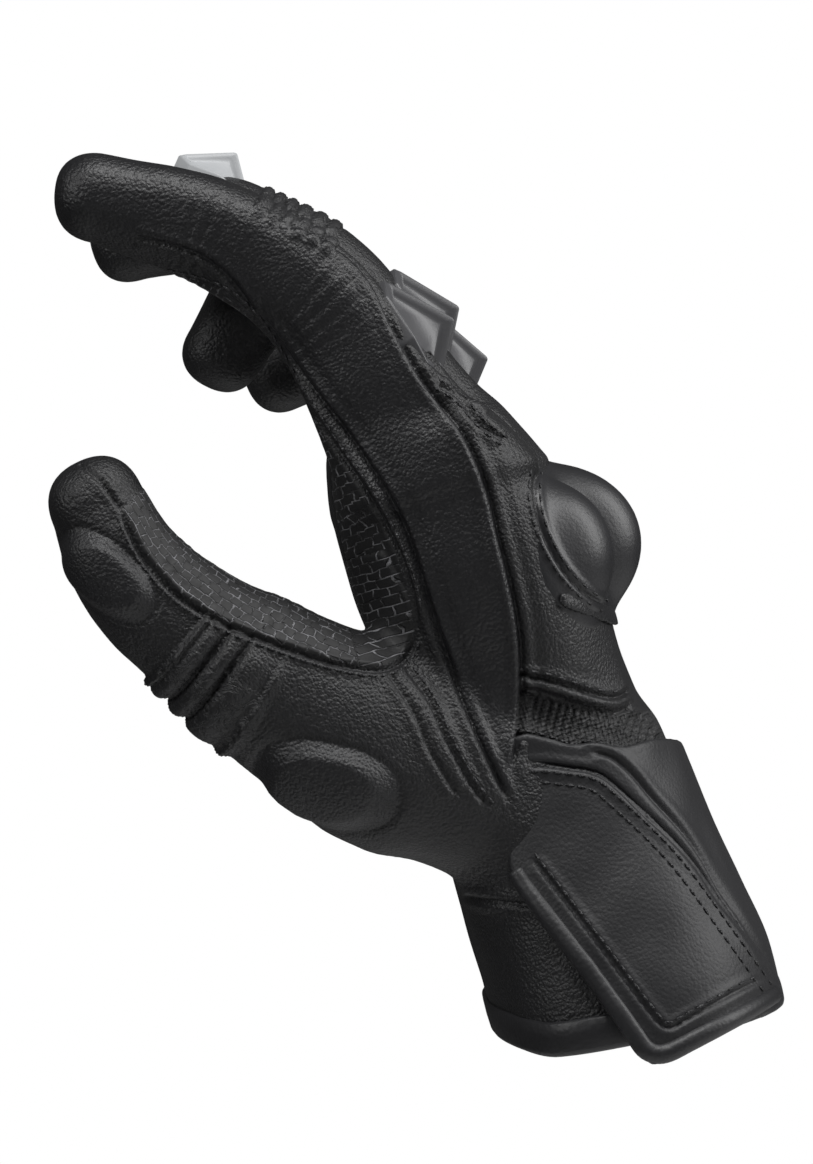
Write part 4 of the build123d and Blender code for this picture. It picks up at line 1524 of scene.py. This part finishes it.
FLAP_PANEL = Layer("flap_leather", 1.0, 3.6, ((-9.6, 67.4), (-3.0, 66.0), (2.8, 63.6), (8.0, 61.2),
                   (12.4, 56.4), (22.9, 38.2), (30.5, 18.0), (37.0, -2.6), (20.0, -6.4),
                   (4.6, -9.4), (1.0, -7.0), (-1.2, 0.5), (-8.0, 19.0), (-17.2, 42.0),
                   (-13.0, 55.0)),
                   (-30.0, -66.0, -9.0), (46.0, -17.0, 70.0))
FLAP_BAND = Layer("flap_band_leather", 0.9, 3.1, ((-9.6, 66.4), (-7.4, 74.6), (-1.0, 72.0),
                  (4.6, 68.6), (10.0, 67.6), (16.0, 64.6), (30.0, 62.0), (52.0, 40.0),
                  (54.0, -4.0), (37.0, -2.0), (30.0, 17.0), (22.3, 37.2), (11.8, 55.6),
                  (7.6, 60.4), (2.6, 62.8), (-3.0, 65.2)),
                  (-30.0, -66.0, -9.0), (46.0, -16.0, 76.0))
FLAP_HINGE = Layer("flap_hinge_leather", 0.9, 3.1, ((8.0, 62.0), (16.0, 64.6), (30.0, 62.0),
                   (52.0, 40.0), (54.0, -4.0), (44.0, -3.0), (34.0, -3.0), (24.0, 4.0),
                   (14.0, 40.0)),
                   (10.0, -18.5, -4.0), (46.0, -5.0, 64.0))
STRAP = Layer("knuckle_strap", -0.6, 1.5, ((12.8, 103.4), (17.6, 100.2), (26.3, 95.8),
              (44.0, 93.0), (44.0, 89.0), (25.0, 91.6), (17.2, 96.2), (11.6, 100.4)),
              (4.0, -60.0, 86.0), (40.0, 50.0, 106.0))
HOOK_TAPE = Layer("flap_hook_strip", 0.62, 2.2, ((-8.0, 44.0), (14.0, 47.0), (22.0, 24.0),
                  (3.0, 14.0)), (-30.0, -66.0, 8.0), (40.0, -22.0, 52.0), 0.3)
LOOP_TAPE = Layer("cuff_loop_strip", -1.3, 0.38, ((-9.0, 46.0), (15.0, 49.0), (23.0, 23.0),
                  (3.0, 12.0)), (-30.0, -66.0, 8.0), (40.0, -22.0, 52.0), 0.3)
FLAP_SEAMS = (
    Seam("panel on band", ((-9.0, 67.0), (-3.0, 65.6), (2.8, 63.2), (7.8, 60.8), (12.1, 56.0),
         (22.6, 37.8), (30.2, 17.6), (37.0, -1.6)), ("flap",), 0.7, 0.6, 0.3,
         rows=(-1.4, -4.0)),
    Seam("band's far edge", ((8.0, 66.0), (13.5, 62.5), (19.0, 53.0), (25.6, 38.0), (31.0, 20.0),
         (35.6, 5.0)), ("flap",), 0.8, 0.6, 0.4),
    Seam("inner line of the binding", ((-11.6, 46.0), (-2.0, 22.0), (5.6, 2.4), (8.4, -1.6),
         (13.0, -1.0), (24.0, 1.6), (33.0, 3.4)), ("flap",), 0.6, 0.55, 0.3, rows=(1.1,)),
)
BINDING_PATH = ((-16.6, 43.4), (-13.2, 34.6), (-7.8, 20.4), (-2.6, 6.6), (0.0, -0.4),
                (1.6, -5.0), (5.6, -7.4), (13.0, -6.2), (22.0, -4.4), (30.0, -2.6),
                (35.0, -1.2))


@dataclass
class Cuff:
    """The closing flap, the hem, the tapes, the liner and everything else on the cuff."""

    palm: Palm

    def flap(self, glove: Glove) -> None:
        """The flap's hinge, panel, band and rolled binding, with their stitches."""
        zone, hides = Zone("flap", "flap"), []
        hinge = FLAP_HINGE.skin(self.palm)
        strip = put_mesh(FLAP_HINGE.name, hinge.points, hinge.quads, FLAP)
        Zone("hinge", "cuff", "flap", (36.0, -11.0, 30.0), (36.0, -18.0, 30.0)).bind(strip)
        for layer, surface, slot, nodes in (
            (FLAP_PANEL, FLAP, "smooth_leather", ("flap_panel",)),
            (FLAP_BAND, FLAP, "smooth_leather", ("flap_band",)),
        ):
            skin = layer.skin(self.palm).refine()
            normal = skin.normals()
            seen = facing(skin.points, normal)
            height = sum(seam.relief(flat(skin.points)) for seam in FLAP_SEAMS) * seen
            height = height + glove.undulation(skin.points) * 1.5 * seen
            skin.points = skin.points + normal * height[:, None]
            piece = put_mesh(layer.name, skin.points, skin.quads, surface)
            zone.bind(piece)
            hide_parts(*nodes)
            hide = Hide("flap", skin, normal, [zone], np.zeros(len(skin.quads), int),
                        np.zeros(len(skin.quads), int), None)
            hide.tree = BVHTree.FromPolygons(skin.points.tolist(), skin.quads.tolist())
            hides.append(hide)
        glove.stitch(FLAP_SEAMS, hides)
        self.binding(glove, zone, hides)

    def binding(self, glove: Glove, zone: Zone, hides: list) -> None:
        """The rolled binding: an oval carried along the flap's free edge.

        Args:
            glove: finds the places on the leather.
            zone: how the flap moves.
            hides: the flap's skins.
        """
        spots, ups = [], []
        for at in spline(np.array(BINDING_PATH), 110):
            hit = glove.land(at, hides)
            if hit:
                spots.append(np.array(hit[0]))
                ups.append(np.array(hit[1]))
        spots, ups = smoothed(np.array(spots), 4), unit(smoothed(np.array(ups), 6))
        points, faces = carry(spots - ups * 1.0, oval(2.1, 2.3), ups, False)
        binding = put_mesh("flap_rolled_binding", points, faces, BINDING)
        zone.bind(binding)
        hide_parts("flap_binding")

    def strap(self) -> None:
        """The narrow strap stitched over the back of the hand, below the guard."""
        skin = STRAP.skin(self.palm).refine()
        piece = put_mesh(STRAP.name, skin.points, skin.quads, PANEL)
        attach(piece, "hand")
        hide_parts("back_strap")

    def tapes(self) -> None:
        """Hook strip under the flap and loop strip on the cuff."""
        for layer, body, node_name in ((HOOK_TAPE, "flap", "flap_hook_tape"),
                                       (LOOP_TAPE, "cuff", "cuff_loop_tape")):
            skin = layer.skin(self.palm)
            piece = put_mesh(layer.name, skin.points, skin.quads, HOOK)
            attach(piece, body)
            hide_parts(node_name)

    def rim(self, off: float, count: int = 220) -> tuple[Array, Array]:
        """The closed line where an offset of the leather meets the hem.

        Args:
            off: the offset, in mm.
            count: how many points the line has.

        Returns:
            The line's points and the level outward direction at each.
        """
        angle = np.linspace(0, 2 * np.pi, count, endpoint=False)
        way = np.stack([np.cos(angle), np.sin(angle), np.zeros(count)], axis=1)
        reach = np.full(count, 30.0)
        for _ in range(30):
            spot = way * reach[:, None] + [self.palm.centre_x, 0, 0]
            spot[:, 2] = hem_height(spot[:, 0])
            reach -= (self.palm.distance(spot) - off) * 0.8
        return spot, way

    def hem(self) -> None:
        """The binding: a folded strip carried round the rim, 6 mm high on both faces."""
        path, way = self.rim(-1.0)
        wall = np.array([(2.0, 0.0), (2.1, 3.0), (2.0, 6.0), (1.4, 6.6), (0.4, 6.4), (0.2, 3.0),
                         (-1.6, 3.0), (-1.8, 6.0), (-2.6, 6.4), (-3.2, 5.8), (-3.1, 2.0),
                         (-2.6, -0.4), (-1.2, -1.5), (0.6, -1.4), (1.6, -0.9)])
        points, faces = carry(path, wall, way, True)
        up = points.reshape(len(path), -1, 3)
        if (up[:, 2, 2] - path[:, 2]).mean() < 0:
            points, faces = carry(path, wall * [1, -1], way, True)
            faces = faces[:, ::-1]
        piece = put_mesh("cuff_hem_roll", points, faces, BINDING)
        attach(piece, "cuff")
        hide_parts("cuff_hem_binding")

    def liner(self) -> None:
        """The knitted bag inside: the leather's field 2.6 mm in, open at the hem."""
        def inside(points: Array) -> Array:
            """Distance to the bag, closed under the fingers."""
            return smooth_max(self.palm.distance(points) + 2.6, points[:, 2] - 118.0, 12.0)

        skin = Skin.from_field((-36, -54, -4), (34, 54, 122), inside, 1.4)
        middle = skin.points[skin.quads].mean(axis=1)
        part, _ = skin.keep(np.flatnonzero(middle[:, 2] > hem_height(middle[:, 0]) + 1.4))
        piece = put_mesh("knit_liner_bag", part.points, part.quads[:, ::-1], KNIT)
        Zone("liner", "cuff", "hand", *WRIST_BEND).bind(piece)
        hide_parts("cuff_lining", "hand_lining")


def smoothed(values: Array, times: int) -> Array:
    """Neighbour averages along a line, with its ends kept."""
    for _ in range(times):
        values[1:-1] = (values[:-2] + 2 * values[1:-1] + values[2:]) / 4
    return values


# ------------------------------------------------------------------ hard parts
@dataclass(frozen=True)
class Guard:
    """The knuckle guard: four domes run together, cut off where they meet the hand.

    Each dome is an ellipsoid: y of its middle, reach in x, z, and half height.
    """

    domes: tuple = ((-32.0, 18.6, 113.0, 18.4), (-11.2, 26.6, 114.0, 21.0),
                    (11.4, 24.0, 110.0, 19.4), (32.0, 17.0, 105.5, 16.8))
    centre_x: float = 7.0
    half_width: float = 12.8
    blend: float = 4.0

    def distance(self, points: Array) -> Array:
        """Smooth union of the ellipsoids' approximate distances."""
        total = None
        for y, reach, z, tall in self.domes:
            radii = np.array([reach, self.half_width, tall])
            gap = points - np.array([self.centre_x, y, z])
            inner = np.linalg.norm(gap / radii, axis=1)
            outer = np.linalg.norm(gap / radii**2, axis=1)
            dome = inner * (inner - 1.0) / np.maximum(outer, 1e-6)
            total = dome if total is None else smooth_min(total, dome, self.blend)
        return total

    def build(self, palm: Palm) -> Hide:
        """The leather-covered shell, as a hide that can be sewn."""

        def shell(points: Array) -> Array:
            """The domes with a fillet down to the leather, cut off 1.2 mm below it."""
            off = palm.distance(points)
            dome = self.distance(points)
            skirted = smooth_min(dome, off - 0.1, 7.0)
            return smooth_max(smooth_max(skirted, dome - 3.2, 1.5), -(off + 1.2), 0.3)

        skin = Skin.from_field((2, -56, 84), (42, 56, 140), shell, 0.9).refine()
        normal, at = skin.normals(), flat(skin.points)
        height = sum(seam.relief(at) for seam in SEAMS if "guard" in seam.skins)
        height = height * facing(skin.points, normal) * (skin.points[:, 1] < 0.0)
        skin.points = skin.points + normal * height[:, None]
        piece = put_mesh("knuckle_guard_domes", skin.points, skin.quads, GUARD)
        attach(piece, "hand")
        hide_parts("knuckle_guard", "knuckle_foam")
        none = np.zeros(len(skin.quads), int)
        return Hide("guard", skin, normal, [Zone("guard", "hand")], none, none, None,
                    BVHTree.FromPolygons(skin.points.tolist(), skin.quads.tolist()))


@dataclass(frozen=True)
class Cap:
    """A moulded roof-shaped cap: two sides, each with a raised rim round a sunk face.

    The ridge's corners are given from a joint, in mm: along the bone and out from its line.

    Args:
        name: the piece's name.
        tip: far corner (along, out).
        peak: highest corner (along, out).
        heel: near corner (along, out).
        half: half width across the finger, in mm.
        surface: its finish.
        slot: the record's material slot; not used.
    """

    name: str
    tip: tuple
    peak: tuple
    heel: tuple
    half: float
    surface: Surface = TPU
    slot: str = "grey_tpu"

    def build(self, joint: Array, along: Array, out: Array, body: str, node_name: str) -> None:
        """Places the corners, sinks the facets and closes the cap inwards.

        Args:
            joint: centre of the joint that it is measured from, in mm.
            along: direction of the bone.
            out: direction away from the palm.
            body: the body that it rides.
            node_name: the node that it stands for.
        """
        across = np.cross(along, out)
        side = [(self.tip[0] - 3.6, self.tip[1] - 1.6, self.half * 0.62),
                (self.peak[0] + 1.0, self.tip[1] - 1.2, self.half),
                (self.heel[0] + 2.6, self.heel[1] - 2.2, self.half * 0.8)]
        ridge = [(*self.tip, 0.0), (*self.peak, 0.0), (*self.heel, 0.0)]
        local = np.array(ridge + side + [(u, v, -w) for u, v, w in side])
        points = list(joint + local @ np.stack([along, out, across]))
        faces, rims = [], ((0, 1, 2, 5, 4, 3), (0, 6, 7, 8, 2, 1))
        for rim in rims:
            corners = np.array([points[i] for i in rim])
            middle = corners.mean(axis=0)
            normal = unit(np.cross(corners[2] - corners[0], corners[4] - corners[0]))
            normal = normal if normal @ out > 0 else -normal
            lip = corners + (middle - corners) * 0.2
            sunk = corners + (middle - corners) * 0.3 - normal * 0.9
            n, count = len(points), len(rim)
            points += [*lip, *sunk]
            for i in range(count):
                j = (i + 1) % count
                faces += [[rim[i], rim[j], n + j, n + i],
                          [n + i, n + j, n + count + j, n + count + i]]
            faces.append(list(range(n + count, n + 2 * count)))
        base, n = (0, 3, 4, 5, 2, 8, 7, 6), len(points)
        points += [points[i] - out * 6.0 for i in base]
        faces += [[base[i], base[(i + 1) % 8], n + (i + 1) % 8, n + i] for i in range(8)]
        faces.append(list(range(n, n + 8)))
        piece = put_mesh(self.name, np.array(points), faces, self.surface)
        bpy.context.view_layer.update()
        point_outwards(piece)
        bevel = piece.modifiers.new("rounded edges", "BEVEL")
        bevel.width, bevel.segments, bevel.limit_method = 0.55 * MM, 3, "ANGLE"
        bevel.angle_limit = math.radians(12)
        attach(piece, body)
        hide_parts(node_name)


def point_outwards(piece: bpy.types.Object) -> None:
    """Turns a closed mesh's faces outwards."""
    shape = bmesh.new()
    shape.from_mesh(piece.data)
    bmesh.ops.recalc_face_normals(shape, faces=shape.faces)
    shape.to_mesh(piece.data)
    shape.free()


CAPS = {
    "index": Cap("index_kite_cap", (-3.8, 11.0), (-19.6, 20.2), (-28.4, 11.6), 9.2),
    "middle": Cap("middle_kite_cap", (-5.0, 12.0), (-20.4, 20.6), (-29.4, 12.6), 9.4),
    "ring": Cap("ring_kite_cap", (-4.6, 11.4), (-19.6, 19.8), (-28.0, 12.0), 9.0),
}
WEDGE = Cap("middle_tip_wedge", (12.4, 10.4), (0.2, 16.4), (-4.4, 10.6), 8.2, PALE_TPU,
            "light_tpu")


# ------------------------------------------------------------------ the scene
@dataclass(frozen=True)
class Studio:
    """A pale floor, soft light and the camera.

    Args:
        lens: focal length, in mm.
        roll: how far the glove's up leans to the right, in degrees.
        floor: the floor's height, well below the glove, in mm.
        side: half the floor's side, in m.
        fade: distances from the middle between which the floor thins out, in m.
    """

    lens: float = 118.5
    roll: float = 16.0
    floor: float = -260.0
    side: float = 1.15
    fade: tuple = (0.36, 0.9)

    def camera(self) -> None:
        """Looks along +y from SIDE, with the glove's up leaning to the right."""
        data = bpy.data.cameras.new("camera")
        data.lens, data.sensor_width, data.clip_end = self.lens, 36.0, 20.0
        made = bpy.data.objects.new("camera", data)
        bpy.context.collection.objects.link(made)
        lean = math.radians(self.roll)
        right = Vector((math.cos(lean), 0, -math.sin(lean)))
        up = Vector((math.sin(lean), 0, math.cos(lean)))
        back = right.cross(up)
        turn = Matrix((right, up, back)).transposed().to_4x4()
        made.matrix_world = Matrix.Translation(Vector(SIDE) * MM) @ turn
        bpy.context.scene.camera = made

    def area(self, name: str, place: tuple, target: tuple, size: tuple, power: float) -> None:
        """A soft box that faces a target.

        Args:
            name: its name.
            place: its middle, in m.
            target: the point that it faces, in m.
            size: its two sides, in m.
            power: its power, in watts.
        """
        data = bpy.data.lights.new(name, "AREA")
        data.shape, data.size, data.size_y, data.energy = "RECTANGLE", size[0], size[1], power
        made = bpy.data.objects.new(name, data)
        bpy.context.collection.objects.link(made)
        made.location = place
        made.rotation_euler = (Vector(target) - Vector(place)).to_track_quat("-Z", "Y").to_euler()

    def sweep(self) -> bpy.types.Material:
        """White paper that thins out to nothing over the distances in fade."""
        paper = FLOOR.material()
        tree = paper.node_tree
        shader = next(n for n in tree.nodes if n.type == "BSDF_PRINCIPLED")
        end = next(n for n in tree.nodes if n.type == "OUTPUT_MATERIAL")
        place = node(tree, "ShaderNodeTexCoord", {}).outputs["Object"]
        far = node(tree, "ShaderNodeVectorMath", {0: place}, operation="LENGTH").outputs["Value"]
        share = node(tree, "ShaderNodeMapRange", {"Value": far, "From Min": self.fade[0],
                     "From Max": self.fade[1]}).outputs["Result"]
        clear = node(tree, "ShaderNodeBsdfTransparent", {}).outputs["BSDF"]
        mixed = node(tree, "ShaderNodeMixShader", {0: share, 1: shader.outputs["BSDF"], 2: clear})
        tree.links.new(mixed.outputs["Shader"], end.inputs["Surface"])
        return paper

    def world(self) -> None:
        """White behind the glove, and only a faint light from all round."""
        world = bpy.data.worlds.new("white_studio")
        world.use_nodes = True
        tree = world.node_tree
        tree.nodes.clear()
        seen = node(tree, "ShaderNodeLightPath", {}).outputs["Is Camera Ray"]
        dim = node(tree, "ShaderNodeBackground", {"Color": (1, 1, 1, 1), "Strength": 0.04})
        white = node(tree, "ShaderNodeBackground", {"Color": (1, 1, 1, 1), "Strength": 1.0})
        mixed = node(tree, "ShaderNodeMixShader", {0: seen, 1: dim.outputs["Background"],
                     2: white.outputs["Background"]})
        node(tree, "ShaderNodeOutputWorld", {"Surface": mixed.outputs["Shader"]})
        bpy.context.scene.world = world
        bpy.context.scene.view_settings.view_transform = "Standard"

    def build(self) -> None:
        """The whole studio."""
        self.camera()
        self.area("top_box", (0.30, -0.45, 0.95), (0, 0, 0.12), (0.55, 0.4), 8.4)
        self.area("back_box", (0.85, -0.1, 0.35), (0, 0, 0.10), (0.35, 0.8), 6.4)
        self.area("left_box", (-0.7, -0.55, 0.75), (0, 0, 0.14), (0.4, 0.4), 3.4)
        self.world()
        side, low = self.side, self.floor * MM
        mesh = bpy.data.meshes.new("floor")
        mesh.from_pydata([(-side, -side, low), (side, -side, low), (side, side, low),
                          (-side, side, low)], [], [[0, 1, 2, 3]])
        mesh.materials.append(self.sweep())
        floor = bpy.data.objects.new("floor", mesh)
        bpy.context.collection.objects.link(floor)


def digits_on(frame: dict) -> dict:
    """The digits, seated on the frame's joints."""
    joints = {joint["name"]: joint for joint in frame["joints"]}
    for name, tube in DIGITS.items():
        places = np.array([joints[key]["pos_m"] for key in JOINTS[name]]) / MM
        tube.seat(places, np.array(joints[JOINTS[name][0]]["axis"]))
    return DIGITS


def build_skins(glove: Glove) -> None:
    """The hand's and the fingers' skins and the guard, cut into pieces and sewn."""
    leather, hides = glove.leather, [Guard().build(glove.leather.palm)]
    rough = {"hand": leather.hand_skin()} | {n: leather.finger_skin(n) for n in FINGERS}
    for name, skin in rough.items():
        hide = glove.finished(name, skin)
        glove.cut(hide)
        if name in ("hand", "index"):
            hide.tree = BVHTree.FromPolygons(hide.skin.points.tolist(), hide.skin.quads.tolist())
            hides.append(hide)
    glove.stitch(SEAMS, hides)


def build_hard_parts(leather: Leather) -> None:
    """The moulded caps."""
    for name, cap in CAPS.items():
        tube = leather.digits[name]
        along = unit(tube.joints[1] - tube.joints[0])
        cap.build(tube.joints[1], along, -unit(np.cross(tube.axis, along)), f"{name}_base",
                  f"{name}_knuckle_cap")
    tube = leather.digits["middle"]
    along = unit(tube.joints[2] - tube.joints[1])
    WEDGE.build(tube.joints[2], along, -unit(np.cross(tube.axis, along)), "middle_tip",
                "middle_tip_cap")


def main() -> None:
    """Builds every sub-assembly in order."""
    logging.basicConfig(level=logging.INFO, format="%(message)s")
    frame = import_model()
    leather = Leather(digits_on(frame), Palm())
    glove = Glove(leather)
    build_skins(glove)
    cuff = Cuff(leather.palm)
    cuff.flap(glove)
    cuff.tapes()
    cuff.hem()
    cuff.liner()
    cuff.strap()
    build_hard_parts(leather)
    Studio().build()


if __name__ == "__main__":
    main()
